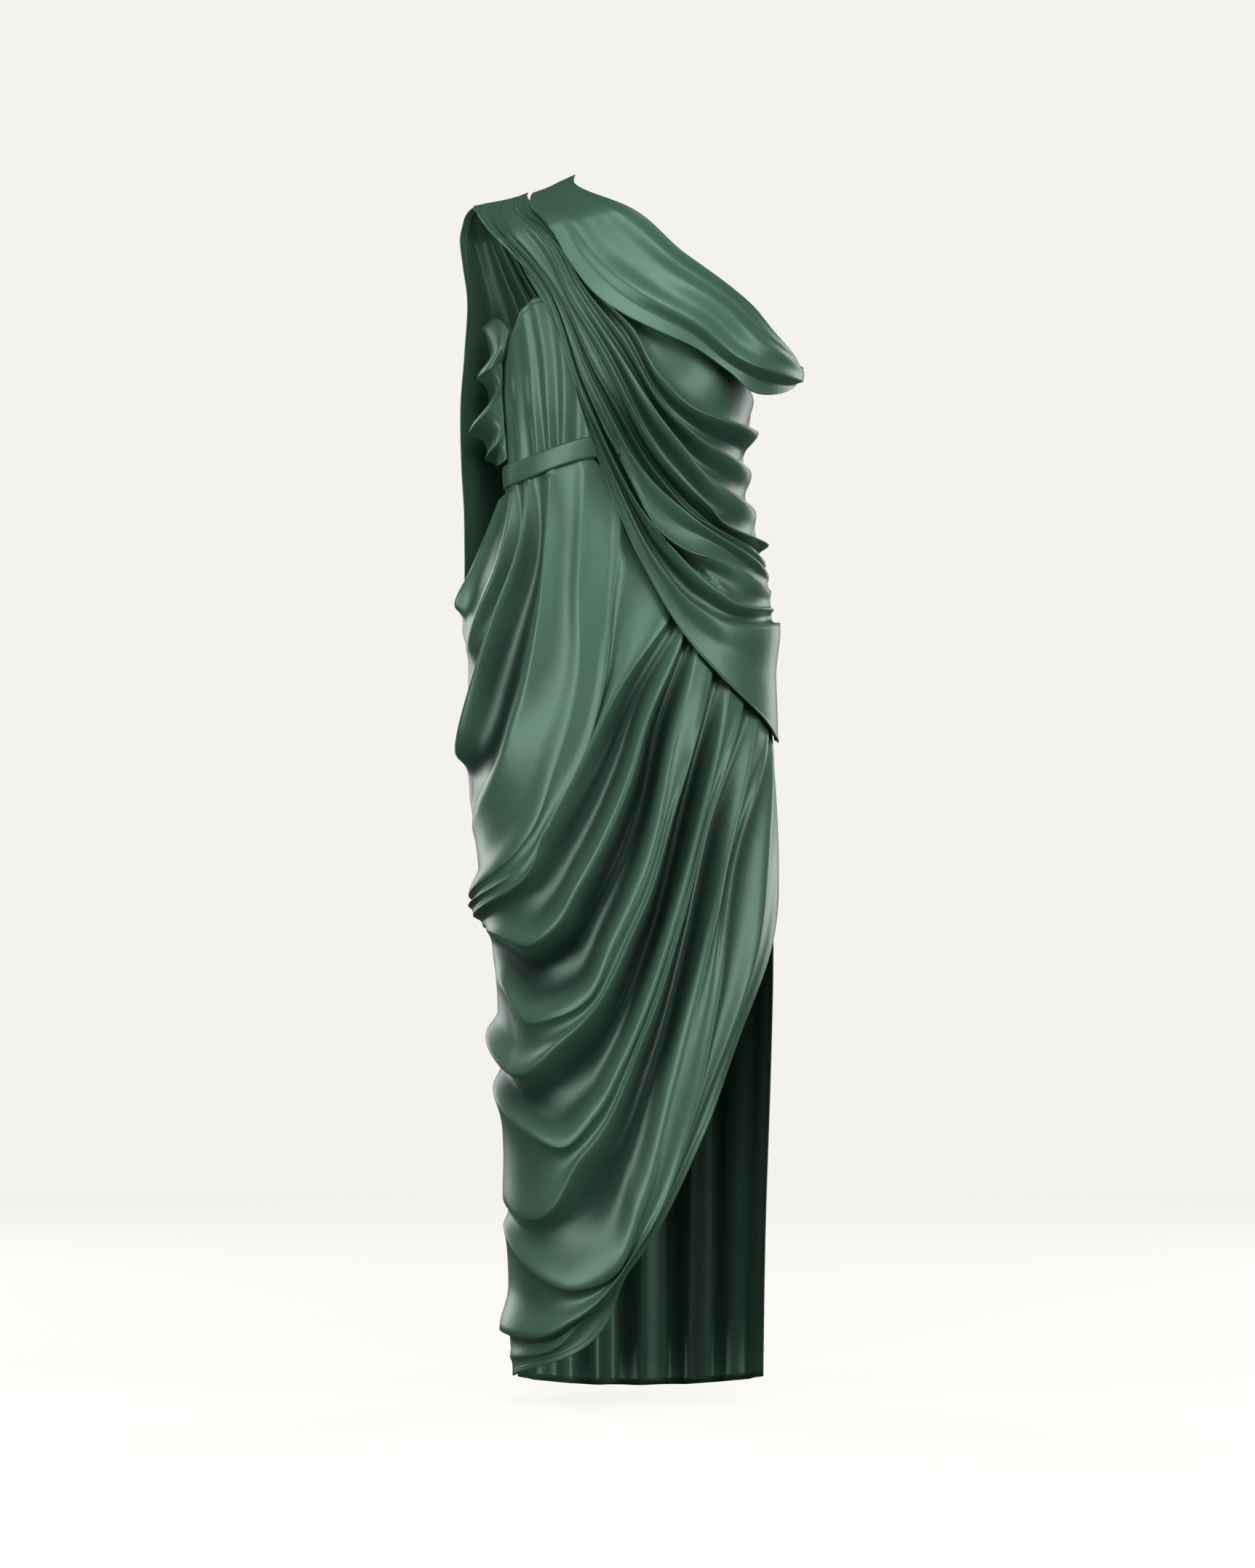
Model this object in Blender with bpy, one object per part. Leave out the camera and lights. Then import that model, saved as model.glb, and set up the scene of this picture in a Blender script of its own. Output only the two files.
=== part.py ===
"""A long one-shoulder gown in satin, standing in its worn shape with nobody inside it.

Lengths are in metres. The front faces -Y, +X is the picture's right and +Z is up. Each point of
the cloth is given by how far across it lies (x), how far below the neck point (drop), and its
lift, which is how far it stands off a plain figure form. A line of such points runs along each
fold, and a panel is laid from line to line, with a valley between two folds. The origin is under
the shoulder strap, where a shoulder holds the gown.
"""

import math

import bmesh
import bpy
import numpy as np

WALL = 0.0013  # the satin with its inner ply
SEAM_GAP = 0.0003  # between two pieces at a seam
THINNEST_SLOPE = 0.45  # how far a steep fold side may thicken the wall: 1 / this
SIDE_TURN = 101.0  # degrees round the form, from the middle front, where the side seams run
FORM_RADIUS = 0.15  # about how far the side of the form is from its axis
FORM_DEPTH = 0.085  # the least half depth of the form, which the gap at a side seam follows
GAP_TURN = math.degrees(SEAM_GAP / 2 / FORM_DEPTH)
FRONT_SEAM = SIDE_TURN - GAP_TURN
BACK_SEAM = SIDE_TURN + GAP_TURN
SHOULDER_POINT = (-0.125, 0.0, -0.021)  # x, y, z of the origin, seen from the neck point
ROLL_DROP = 0.045  # the drop over which cloth turns from the top of the shoulder to the chest

LEAST_HIDDEN = 0.01  # the least length of a fold between the outline and its seam
SEAM_DIP = 0.004  # how far the back of the skirt falls in beside its side seams
DRAPE_SEAM_LIFT = 0.017  # the lift of the sash where it meets the side seam
FLOUNCE_SEAM_LIFT = 0.009
BACK_COLLAR_REACH = 0.12  # the x up to which the back of the band mirrors its front

BELT_WIDTH = 0.0245
BELT_LIFT = 0.0088
BELT_ENDS = -88.0  # degrees round the form at which the tie starts and ends, under the flounce
BELT_STEPS = 49
UNDER_BELT = 0.0066  # the most that cloth under the tie stands off the form
PRESS_SLOPE = 1.2  # how fast pressed folds rise beside the tie
PRESS_MARGIN = 0.005  # how far beside the tie they start to rise
WAIST_GAP = 0.0012  # between bodice and skirt, under the tie

# How many points the model reads along a fold of each panel, and how much closer together they
# are where the cloth is gathered.
SKIRT_STEPS = 26
SKIRT_BACK_STEPS = 15
DRAPE_STEPS = 24
BACK_DRAPE_STEPS = 16
COLLAR_STEPS = 18
BODICE_STEPS = 8
BODICE_BACK_STEPS = 5
FLOUNCE_STEPS = 9
SKIRT_EARLY = 1.15
DRAPE_EARLY = 1.25

SATIN = (0.030, 0.085, 0.052, 1.0)
SATIN_ROUGHNESS = 0.38

# The figure form: drop, half width on the left and on the right, depth in front and behind.
FORM = (
    (-0.005, 0.080, 0.070, 0.030, 0.028),
    (0.020, 0.150, 0.115, 0.048, 0.042),
    (0.040, 0.180, 0.140, 0.055, 0.050),
    (0.060, 0.182, 0.152, 0.060, 0.056),
    (0.100, 0.168, 0.158, 0.072, 0.068),
    (0.140, 0.152, 0.150, 0.088, 0.078),
    (0.200, 0.141, 0.138, 0.104, 0.088),
    (0.260, 0.138, 0.121, 0.112, 0.090),
    (0.330, 0.134, 0.112, 0.102, 0.086),
    (0.380, 0.132, 0.116, 0.100, 0.088),
    (0.430, 0.135, 0.130, 0.104, 0.096),
    (0.500, 0.145, 0.143, 0.110, 0.108),
    (0.600, 0.150, 0.150, 0.116, 0.118),
    (0.700, 0.148, 0.151, 0.120, 0.122),
    (0.800, 0.142, 0.151, 0.122, 0.124),
    (0.900, 0.135, 0.151, 0.122, 0.124),
    (1.000, 0.132, 0.149, 0.122, 0.124),
    (1.200, 0.126, 0.143, 0.120, 0.122),
    (1.400, 0.119, 0.139, 0.118, 0.120),
)

# The lift of the skirt's side seams: drop, left seam, right edge of the back.
SKIRT_SEAM_LIFT = (
    (0.300, 0.006, 0.006),
    (0.360, 0.006, 0.006),
    (0.420, 0.018, 0.007),
    (0.500, 0.032, 0.008),
    (0.600, 0.034, 0.010),
    (0.700, 0.030, 0.013),
    (0.800, 0.020, 0.016),
    (0.900, 0.011, 0.016),
    (1.200, 0.008, 0.015),
    (1.400, 0.007, 0.016),
)

# The middle of the waist tie: degrees round the form from the middle front, drop.
BELT_LINE = (
    (-101.0, 0.345),
    (-60.0, 0.337),
    (-20.0, 0.314),
    (20.0, 0.304),
    (101.0, 0.304),
    (140.0, 0.310),
    (180.0, 0.322),
    (220.0, 0.336),
    (259.0, 0.345),
)

# The folds of each panel, in order. Crest and valley are lifts at even steps along the line, lap
# is the share of the way to the next line in which the cloth falls to the valley. Points are
# (x, drop), or (degrees round the form, drop) where the first number is over 1.
SKIRT_FRONT = (
    # name, crest, valley, lap, points
    ("hip_edge", (0.006, 0.024, 0.040, 0.052), (0.004, 0.014, 0.026, 0.040), 0.45,
     ((-0.143, 0.345), (-0.165, 0.395), (-0.184, 0.443), (-0.198, 0.488))),
    ("hip_fold_1", (0.006, 0.022, 0.034, 0.036), (0.002, 0.008, 0.018, 0.024), 0.45,
     ((-0.130, 0.343), (-0.141, 0.414), (-0.161, 0.472), (-0.183, 0.531))),
    ("hip_fold_2", (0.006, 0.024, 0.034, 0.038, 0.044), (0.002, 0.004, 0.008, 0.008, 0.024), 0.45,
     ((-0.115, 0.338), (-0.125, 0.418), (-0.151, 0.488), (-0.175, 0.562), (-0.194, 0.656))),
    ("hip_fold_3", (0.006, 0.024, 0.030, 0.030, 0.030), (0.003, 0.016, 0.022, 0.026, 0.026), 0.5,
     ((-0.089, 0.330), (-0.095, 0.414), (-0.105, 0.508), (-0.131, 0.615), (-0.164, 0.701),
      (-0.180, 0.738))),
    ("sling_top", (0.006, 0.022, 0.028, 0.032, 0.038), (0.004, 0.018, 0.025, 0.030, 0.034), 0.5,
     ((-0.048, 0.316), (-0.055, 0.459), (-0.056, 0.570), (-0.085, 0.671), (-0.116, 0.746), (-0.155, 0.787),
      (-0.182, 0.816))),
    ("middle_crease", (0.008, 0.022, 0.028, 0.032, 0.038), (0.005, 0.016, 0.025, 0.032, 0.036), 0.4,
     ((-0.006, 0.360), (-0.018, 0.476), (-0.027, 0.574), (-0.056, 0.672), (-0.092, 0.734), (-0.134, 0.791),
      (-0.183, 0.827))),
    ("ridge_1", (0.010, 0.028, 0.034, 0.036, 0.034), (0.006, 0.008, 0.012, 0.018, 0.026), 0.45,
     ((0.054, 0.490), (0.002, 0.562), (-0.061, 0.674), (-0.095, 0.738), (-0.134, 0.805), (-0.175, 0.838))),
    ("ridge_2", (0.010, 0.034, 0.038, 0.038, 0.030), (0.004, 0.006, 0.006, 0.006, 0.006), 0.4,
     ((0.068, 0.505), (0.023, 0.615), (0.003, 0.681), (-0.057, 0.802), (-0.088, 0.849), (-0.116, 0.866),
      (-0.148, 0.855))),
    ("sling_2_rim",
     (0.010, 0.032, 0.034, 0.032, 0.030, 0.020), (0.010, 0.031, 0.033, 0.030, 0.026, 0.014), 0.5,
     ((0.082, 0.518), (0.062, 0.615), (0.014, 0.804), (-0.018, 0.869), (-0.051, 0.930), (-0.084, 0.946),
      (-0.115, 0.952), (-0.143, 0.913))),
    ("ridge_3",
     (0.010, 0.036, 0.038, 0.036, 0.032, 0.026), (0.004, 0.004, 0.005, 0.006, 0.008, 0.008), 0.45,
     ((0.098, 0.538), (0.057, 0.705), (0.013, 0.836), (-0.071, 0.968), (-0.134, 1.010), (-0.166, 0.965))),
    ("sling_3_rim",
     (0.010, 0.032, 0.034, 0.030, 0.028, 0.020), (0.010, 0.030, 0.033, 0.028, 0.022, 0.012), 0.5,
     ((0.116, 0.560), (0.099, 0.672), (0.058, 0.828), (-0.007, 1.000), (-0.038, 1.056), (-0.077, 1.090),
      (-0.110, 1.076), (-0.153, 1.025))),
    ("ridge_4",
     (0.009, 0.036, 0.038, 0.034, 0.026, 0.014), (0.004, 0.005, 0.006, 0.006, 0.006, 0.008), 0.4,
     ((0.132, 0.575), (0.099, 0.705), (0.063, 0.836), (0.017, 0.968), (-0.051, 1.099), (-0.126, 1.170),
      (-0.143, 1.150))),
    ("sling_4_rim",
     (0.0088, 0.028, 0.032, 0.030, 0.028, 0.016), (0.010, 0.026, 0.030, 0.028, 0.022, 0.010), 0.5,
     ((0.148, 0.588), (0.120, 0.746), (0.101, 0.836), (0.050, 1.033), (0.014, 1.164), (-0.020, 1.235),
      (-0.069, 1.248), (-0.116, 1.223), (-0.141, 1.185))),
    ("ridge_5",
     (0.0088, 0.034, 0.038, 0.034, 0.028, 0.022), (0.006, 0.018, 0.026, 0.026, 0.020, 0.010), 0.4,
     ((0.157, 0.600), (0.130, 0.738), (0.101, 0.935), (0.072, 1.066), (0.019, 1.190), (-0.064, 1.285),
      (-0.103, 1.304), (-0.148, 1.300))),
    ("edge_band",
     (0.0088, 0.028, 0.030, 0.026, 0.020, 0.012), (0.010, 0.020, 0.022, 0.018, 0.014, 0.010), 0.5,
     ((0.165, 0.612), (0.162, 0.705), (0.147, 0.869), (0.091, 1.025), (0.030, 1.164), (-0.048, 1.276),
      (-0.098, 1.322), (-0.139, 1.333))),
    ("free_edge", (0.008, 0.018, 0.020, 0.018, 0.014, 0.010), (), 0.5,
     ((97.0, 0.618), (98.0, 0.720), (0.168, 0.828), (0.131, 0.954), (0.084, 1.080), (0.004, 1.224),
      (-0.088, 1.333), (-0.131, 1.354))),
)

FRONT_DRAPE = (
    ("free_edge", (0.010, 0.018, 0.022, 0.022, 0.018), (0.008, 0.016, 0.018, 0.020, 0.020), 0.5,
     ((-0.176, 0.035), (-0.146, 0.065), (-0.116, 0.120), (-0.089, 0.166), (-0.036, 0.321), (0.017, 0.443),
      (0.090, 0.550), (0.144, 0.603), (0.167, 0.633))),
    ("sash_fold", (0.010, 0.020, 0.022, 0.030, 0.028), (0.008, 0.018, 0.020, 0.016, 0.014), 0.4,
     ((-0.169, 0.034), (-0.111, 0.121), (-0.062, 0.238), (-0.002, 0.377), (0.034, 0.441), (0.081, 0.490),
      (0.144, 0.510), (0.170, 0.506))),
    ("low_swag", (0.010, 0.024, 0.030, 0.036, 0.024), (0.008, 0.016, 0.016, 0.015, 0.018), 0.3,
     ((-0.161, 0.032), (-0.106, 0.121), (-0.055, 0.246), (0.011, 0.377), (0.051, 0.425), (0.106, 0.472),
      (0.131, 0.488), (0.162, 0.490))),
    ("mid_swag_rim", (0.010, 0.022, 0.026, 0.034, 0.026), (0.008, 0.020, 0.022, 0.030, 0.018), 0.5,
     ((-0.156, 0.031), (-0.103, 0.120), (-0.050, 0.242), (0.010, 0.363), (0.034, 0.404), (0.071, 0.428),
      (0.120, 0.441), (0.156, 0.466))),
    ("mid_swag", (0.010, 0.026, 0.032, 0.040, 0.022), (0.008, 0.016, 0.015, 0.016, 0.016), 0.3,
     ((-0.151, 0.030), (-0.101, 0.118), (-0.039, 0.246), (0.020, 0.344), (0.057, 0.377), (0.120, 0.420),
      (0.159, 0.456))),
    ("inner_ridge", (0.010, 0.018, 0.022, 0.024, 0.022), (0.008, 0.015, 0.015, 0.016, 0.016), 0.5,
     ((-0.143, 0.029), (-0.098, 0.115), (-0.032, 0.238), (0.034, 0.344), (0.079, 0.390), (0.124, 0.414),
      (0.160, 0.441))),
    ("high_swag", (0.010, 0.026, 0.034, 0.040, 0.032), (0.008, 0.020, 0.018, 0.020, 0.016), 0.3,
     ((-0.130, 0.025), (-0.108, 0.072), (-0.070, 0.145), (-0.033, 0.201), (0.029, 0.312), (0.092, 0.377),
      (0.125, 0.405), (0.158, 0.418))),
    ("side_fold_1", (0.010, 0.024, 0.028, 0.034, 0.026), (0.008, 0.020, 0.016, 0.016, 0.016), 0.4,
     ((-0.125, 0.023), (-0.098, 0.075), (-0.059, 0.139), (-0.021, 0.195), (0.059, 0.308), (0.099, 0.350),
      (0.150, 0.385))),
    ("side_fold_2", (0.010, 0.024, 0.030, 0.034, 0.026), (0.008, 0.018, 0.016, 0.018, 0.014), 0.4,
     ((-0.122, 0.022), (-0.092, 0.076), (-0.050, 0.138), (-0.011, 0.185), (0.059, 0.285), (0.110, 0.318),
      (0.140, 0.341))),
    ("side_fold_3", (0.010, 0.022, 0.026, 0.034, 0.030), (0.008, 0.018, 0.016, 0.018, 0.018), 0.4,
     ((-0.120, 0.021), (-0.088, 0.075), (-0.043, 0.136), (0.001, 0.176), (0.040, 0.238), (0.091, 0.276),
      (0.147, 0.294))),
    ("top", (0.010, 0.018, 0.020, 0.020, 0.020), (), 0.5,
     ((-0.1178, 0.020), (-0.1088, 0.039), (-0.084, 0.076), (-0.034, 0.132), (0.034, 0.168), (0.087, 0.195),
      (0.124, 0.232), (0.141, 0.258))),
)

# The back drape's outer edge hangs from the shoulder tip and is seen through the armhole.
BACK_DRAPE = (
    ("outer_edge",
     (0.010, 0.026, 0.048, 0.055, 0.054, 0.044), (0.008, 0.020, 0.034, 0.040, 0.040, 0.034), 0.5,
     ((-0.176, 0.035), (264.0, 0.100), (266.0, 0.200), (266.0, 0.330), (265.0, 0.420), (263.0, 0.490))),
    ("fold_1", (0.010, 0.022, 0.034, 0.042, 0.040, 0.040), (0.008, 0.018, 0.020, 0.024, 0.024, 0.024), 0.5,
     ((-0.164, 0.032), (248.0, 0.120), (242.0, 0.250), (240.0, 0.400), (238.0, 0.515))),
    ("fold_2", (0.010, 0.022, 0.028, 0.032, 0.032, 0.030), (0.008, 0.016, 0.018, 0.020, 0.020, 0.020), 0.5,
     ((-0.152, 0.030), (232.0, 0.120), (216.0, 0.260), (206.0, 0.420), (200.0, 0.560))),
    ("fold_3", (0.010, 0.022, 0.028, 0.032, 0.032, 0.028), (0.008, 0.016, 0.018, 0.018, 0.018, 0.018), 0.5,
     ((-0.143, 0.028), (224.0, 0.120), (198.0, 0.260), (176.0, 0.430), (160.0, 0.600))),
    ("hem_corner",
     (0.010, 0.022, 0.028, 0.032, 0.030, 0.026), (0.008, 0.016, 0.018, 0.018, 0.018, 0.018), 0.5,
     ((-0.139, 0.027), (221.0, 0.120), (193.0, 0.255), (168.0, 0.410), (146.0, 0.580), (130.0, 0.618))),
    ("fold_4", (0.010, 0.022, 0.028, 0.032, 0.030, 0.017), (0.008, 0.016, 0.018, 0.018, 0.018, 0.017), 0.5,
     ((-0.135, 0.026), (218.0, 0.120), (188.0, 0.250), (160.0, 0.390), (130.0, 0.560), (BACK_SEAM, 0.633))),
    ("fold_5", (0.010, 0.022, 0.028, 0.032, 0.030, 0.017), (0.008, 0.016, 0.018, 0.018, 0.018, 0.017), 0.5,
     ((-0.128, 0.024), (212.0, 0.120), (180.0, 0.230), (150.0, 0.340), (125.0, 0.430), (BACK_SEAM, 0.490))),
    ("fold_6", (0.010, 0.020, 0.026, 0.030, 0.028, 0.017), (0.008, 0.016, 0.018, 0.018, 0.018, 0.017), 0.5,
     ((-0.123, 0.022), (206.0, 0.115), (174.0, 0.205), (145.0, 0.285), (122.0, 0.345), (BACK_SEAM, 0.380))),
    ("top", (0.010, 0.018, 0.020, 0.020, 0.019, 0.017), (), 0.5,
     ((-0.1178, 0.020), (215.0, 0.046), (201.0, 0.086), (186.0, 0.122), (168.0, 0.150), (146.0, 0.182),
      (125.0, 0.220), (BACK_SEAM, 0.258))),
)

# The fold-over band, from its lower edge to the fold at the neckline. It goes round the upper arm.
COLLAR = (
    ("lower_edge", (0.024, 0.032, 0.036, 0.040, 0.062), (0.024, 0.035, 0.041, 0.046, 0.066), 0.5,
     ((-0.1175, 0.0205), (-0.101, 0.059), (-0.075, 0.101), (-0.043, 0.140), (-0.007, 0.165), (0.035, 0.185),
      (0.077, 0.203), (0.116, 0.230), (0.145, 0.252), (0.180, 0.246), (0.192, 0.238))),
    ("lower_roll", (0.022, 0.036, 0.046, 0.052, 0.068), (0.016, 0.034, 0.042, 0.050, 0.068), 0.5,
     ((-0.103, 0.016), (-0.081, 0.049), (-0.040, 0.098), (0.013, 0.139), (0.083, 0.176), (0.144, 0.221),
      (0.195, 0.233))),
    ("upper_roll", (0.016, 0.032, 0.044, 0.052, 0.066), (0.014, 0.030, 0.040, 0.048, 0.062), 0.5,
     ((-0.084, 0.008), (-0.052, 0.041), (-0.007, 0.078), (0.050, 0.119), (0.112, 0.156), (0.162, 0.201),
      (0.194, 0.221))),
    ("neck_fold", (0.012, 0.024, 0.034, 0.042, 0.058), (), 0.5,
     ((-0.065, 0.000), (-0.003, 0.041), (0.071, 0.097), (0.144, 0.152), (0.180, 0.197), (0.190, 0.211))),
)

BODICE_FRONT = (
    ("left_seam", (0.004, 0.005), (0.003, 0.003), 0.5, ((-FRONT_SEAM, 0.240), (-FRONT_SEAM, 0.345))),
    ("gather_1", (0.004, 0.006), (0.003, 0.002), 0.5, ((-0.142, 0.215), (-0.135, 0.300), (-0.134, 0.340))),
    ("gather_2", (0.004, 0.006), (0.003, 0.001), 0.5, ((-0.134, 0.191), (-0.127, 0.262), (-0.122, 0.336))),
    ("gather_3", (0.004, 0.006), (0.003, 0.001), 0.5, ((-0.121, 0.156), (-0.108, 0.262), (-0.102, 0.330))),
    ("gather_4", (0.004, 0.006), (0.003, 0.001), 0.5, ((-0.108, 0.144), (-0.095, 0.213), (-0.088, 0.325))),
    ("gather_5", (0.004, 0.006), (0.003, 0.002), 0.5, ((-0.085, 0.138), (-0.072, 0.246), (-0.074, 0.320))),
    ("gather_6", (0.004, 0.006), (0.004, 0.004), 0.5, ((-0.050, 0.138), (-0.045, 0.250), (-0.045, 0.315))),
    ("chest_middle", (0.004, 0.005), (0.004, 0.004), 0.5, ((0.020, 0.142), (0.020, 0.305))),
    ("chest_side", (0.004, 0.005), (0.004, 0.004), 0.5, ((0.085, 0.165), (0.080, 0.305))),
    ("right_seam", (0.004, 0.005), (), 0.5, ((FRONT_SEAM, 0.238), (FRONT_SEAM, 0.304))),
)

BODICE_BACK = (
    ("right_seam", (0.004, 0.005), (0.004, 0.004), 0.5, ((BACK_SEAM, 0.238), (BACK_SEAM, 0.304))),
    ("right_back", (0.004, 0.005), (0.004, 0.004), 0.5, ((135.0, 0.215), (135.0, 0.310))),
    ("middle", (0.004, 0.005), (0.004, 0.004), 0.5, ((180.0, 0.205), (180.0, 0.322))),
    ("left_back", (0.004, 0.005), (0.004, 0.004), 0.5, ((225.0, 0.215), (225.0, 0.337))),
    ("left_seam", (0.004, 0.005), (), 0.5, ((360.0 - BACK_SEAM, 0.240), (360.0 - BACK_SEAM, 0.345))),
)

SIDE_FLOUNCE = (
    ("top", (0.0078, 0.014, 0.020), (0.0078, 0.012, 0.014), 0.5,
     ((-0.134, 0.180), (-0.150, 0.166), (-0.162, 0.172))),
    ("tip_1", (0.0078, 0.022, 0.032), (0.0078, 0.012, 0.016), 0.4,
     ((-0.142, 0.214), (-0.159, 0.223), (-0.171, 0.231))),
    ("tip_2", (0.0078, 0.028, 0.043), (0.0078, 0.016, 0.022), 0.5,
     ((-0.142, 0.250), (-0.163, 0.273), (-0.180, 0.294))),
    ("tip_3", (0.0078, 0.018, 0.027), (0.0078, 0.012, 0.014), 0.5,
     ((-0.139, 0.292), (-0.152, 0.310), (-0.161, 0.320))),
    ("knot_end", (0.0078, 0.011, 0.014), (), 0.5, ((-0.137, 0.322), (-0.143, 0.327), (-0.148, 0.329))),
)

# The back of the skirt: degrees round the form, crest, valley and the hem's drop.
SKIRT_BACK = (
    (BACK_SEAM, None, None, 1.357),
    (120.0, (0.006, 0.008, 0.013, 0.018, 0.018), (0.003, 0.006, 0.008, 0.006, 0.006), 1.364),
    (142.0, (0.006, 0.011, 0.018, 0.020, 0.020), (0.003, 0.006, 0.008, 0.004, 0.004), 1.371),
    (163.0, (0.006, 0.011, 0.016, 0.018, 0.018), (0.003, 0.006, 0.008, 0.006, 0.006), 1.375),
    (186.0, (0.006, 0.012, 0.018, 0.020, 0.020), (0.003, 0.006, 0.008, 0.004, 0.004), 1.376),
    (209.0, (0.006, 0.011, 0.016, 0.018, 0.018), (0.003, 0.006, 0.008, 0.006, 0.006), 1.373),
    (232.0, (0.006, 0.014, 0.020, 0.018, 0.016), (0.003, 0.010, 0.012, 0.008, 0.006), 1.366),
    (360.0 - BACK_SEAM, None, None, 1.357),
)


def smooth_through(at, values, where):
    """A smooth line through the rows of a table, read at each place in `where`."""
    at = np.asarray(at, float)
    values = np.asarray(values, float)
    where = np.asarray(where, float)
    slopes = np.gradient(values, at, axis=0)
    row = np.clip(np.searchsorted(at, where, side="right") - 1, 0, len(at) - 2)
    step = at[row + 1] - at[row]
    u = np.clip((where - at[row]) / step, 0.0, 1.0)
    if values.ndim > 1:
        u = u[..., None]
        step = step[..., None]
    start = values[row] * (1 + 2 * u) * (1 - u) ** 2 + slopes[row] * step * u * (1 - u) ** 2
    end = values[row + 1] * u**2 * (3 - 2 * u) + slopes[row + 1] * step * u**2 * (u - 1)
    return start + end


def column_of(table, column, where):
    return smooth_through([row[0] for row in table], [row[column] for row in table], where)


def spread(values, t):
    """Values given at even steps along a line, read at t from 0 to 1."""
    return smooth_through(np.linspace(0.0, 1.0, len(values)), values, t)


def ease(u):
    u = np.clip(u, 0.0, 1.0)
    return u * u * (3 - 2 * u)


def belt_drop(degrees):
    return column_of(BELT_LINE, 1, degrees)


def pressed_by_belt(grid):
    """The same grid with its lift held down where the tie passes over it."""
    beside = np.abs(grid[..., 1] - belt_drop(np.degrees(grid[..., 0]))) - BELT_WIDTH / 2 - PRESS_MARGIN
    grid[..., 2] = np.minimum(grid[..., 2], UNDER_BELT + PRESS_SLOPE * np.maximum(beside, 0.0))
    return grid


def form_size(angle, drop):
    """The form's half width and half depth on the side that this angle faces."""
    to_right = ease(0.5 + 2.0 * np.sin(angle))
    to_back = ease(0.5 - 2.0 * np.cos(angle))
    wide = column_of(FORM, 1, drop) * (1 - to_right) + column_of(FORM, 2, drop) * to_right
    deep = column_of(FORM, 3, drop) * (1 - to_back) + column_of(FORM, 4, drop) * to_back
    return wide, deep


def angle_of(place, drop, lift, back):
    """The angle round the form of a point given by x, or by degrees where the number is over 1."""
    if abs(place) > 1:
        return math.radians(place)
    half = float(column_of(FORM, 1 if place < 0 else 2, drop)) + lift
    angle = math.asin(max(-1.0, min(1.0, place / half)))
    return math.pi - angle if back else angle


def across(place, drop, back):
    """How far across the cloth a point lies: x in front, and the way round the form behind."""
    if back or abs(place) > 1:
        return FORM_RADIUS * angle_of(place, drop, 0.0, back)
    return place


def fold_line(points, lifts, t, back, seam):
    """Angle, drop and lift at each t along one fold, and the t where the seen part ends.

    With a seam, which is (degrees, lift of a drop), the line goes on past the outline to it.
    """
    drops = np.array([drop for _, drop in points])
    steps = np.hypot(np.diff([across(*point, back) for point in points]), np.diff(drops))
    along = np.concatenate([[0.0], np.cumsum(steps)]) / steps.sum()
    lifts = spread(lifts, along)
    angles = np.array([angle_of(*point, lift, back) for point, lift in zip(points, lifts)])
    seen_to = 1.0
    if seam:
        turn, seam_lift = math.radians(seam[0]), seam[1]
        hidden = max(abs(turn - angles[-1]) * FORM_RADIUS, LEAST_HIDDEN) / steps.sum()
        seen_to = 1.0 / (1.0 + hidden)
        along = np.append(along * seen_to, 1.0)
        angles = np.append(angles, turn)
        drops = np.append(drops, drops[-1])
        lifts = np.append(lifts, seam_lift(drops[-1]) if seam_lift else lifts[-1])
    return smooth_through(along, np.stack([angles, drops, lifts], axis=1), t), seen_to


def laid_panel(folds, t, steps, back=False, seam=None):
    """A grid of angle, drop and lift, laid from fold line to fold line."""
    lines = []
    for _, crest, valley, lap, points in folds:
        line, seen_to = fold_line(points, crest, t, back, seam)
        low = np.minimum(spread(valley or crest, np.minimum(t / seen_to, 1.0)), line[:, 2])
        if seen_to < 1.0:
            low = low + (line[:, 2] - low) * ease((t - seen_to) / (1.0 - seen_to))
        lines.append((line, low, lap))
    rows = []
    for (line, low, lap), (following, _, _) in zip(lines, lines[1:]):
        for u in steps(lap):
            row = line + (following - line) * u
            if u < lap:
                row[:, 2] = line[:, 2] + (low - line[:, 2]) * ease(u / lap)
            else:
                row[:, 2] = low + (following[:, 2] - low) * ease((u - lap) / (1 - lap))
            rows.append(row)
    rows.append(lines[-1][0])
    return np.array(rows)


def on_form(grid, shoulder=0):
    """The outer points of a grid of angle, drop and lift, and the way out of the form at each.

    shoulder is -1 for a front piece and 1 for a back piece that starts on top of the shoulder.
    """
    angle, drop, lift = grid[..., 0], grid[..., 1], grid[..., 2]
    wide, deep = form_size(angle, drop)
    out = np.stack([np.sin(angle) / wide, -np.cos(angle) / deep], axis=-1)
    out /= np.linalg.norm(out, axis=-1, keepdims=True)
    roll = np.ones_like(drop)
    if shoulder:
        past = (drop - drop[:, :1]) / ROLL_DROP
        roll = np.sin(np.clip(past, 0.0, 1.0) * math.pi / 2)
    x = wide * np.sin(angle) + lift * out[..., 0]
    y = (-deep * np.cos(angle) + lift * out[..., 1]) * roll + shoulder * SEAM_GAP / 2 * (1 - roll)
    way = np.stack([out[..., 0] * roll, out[..., 1] * roll, 1.0 - roll], axis=-1)
    way /= np.linalg.norm(way, axis=-1, keepdims=True)
    return np.stack([x, y, -drop], axis=-1), way


def inner_side(points, way):
    """The same points moved in through the wall, further where a fold's side is steep."""
    normal = np.cross(np.gradient(points, axis=0), np.gradient(points, axis=1))
    normal /= np.maximum(np.linalg.norm(normal, axis=-1, keepdims=True), 1e-12)
    facing = np.abs((normal * way).sum(axis=-1, keepdims=True))
    return points - way * WALL / np.maximum(facing, THINNEST_SLOPE)


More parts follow.
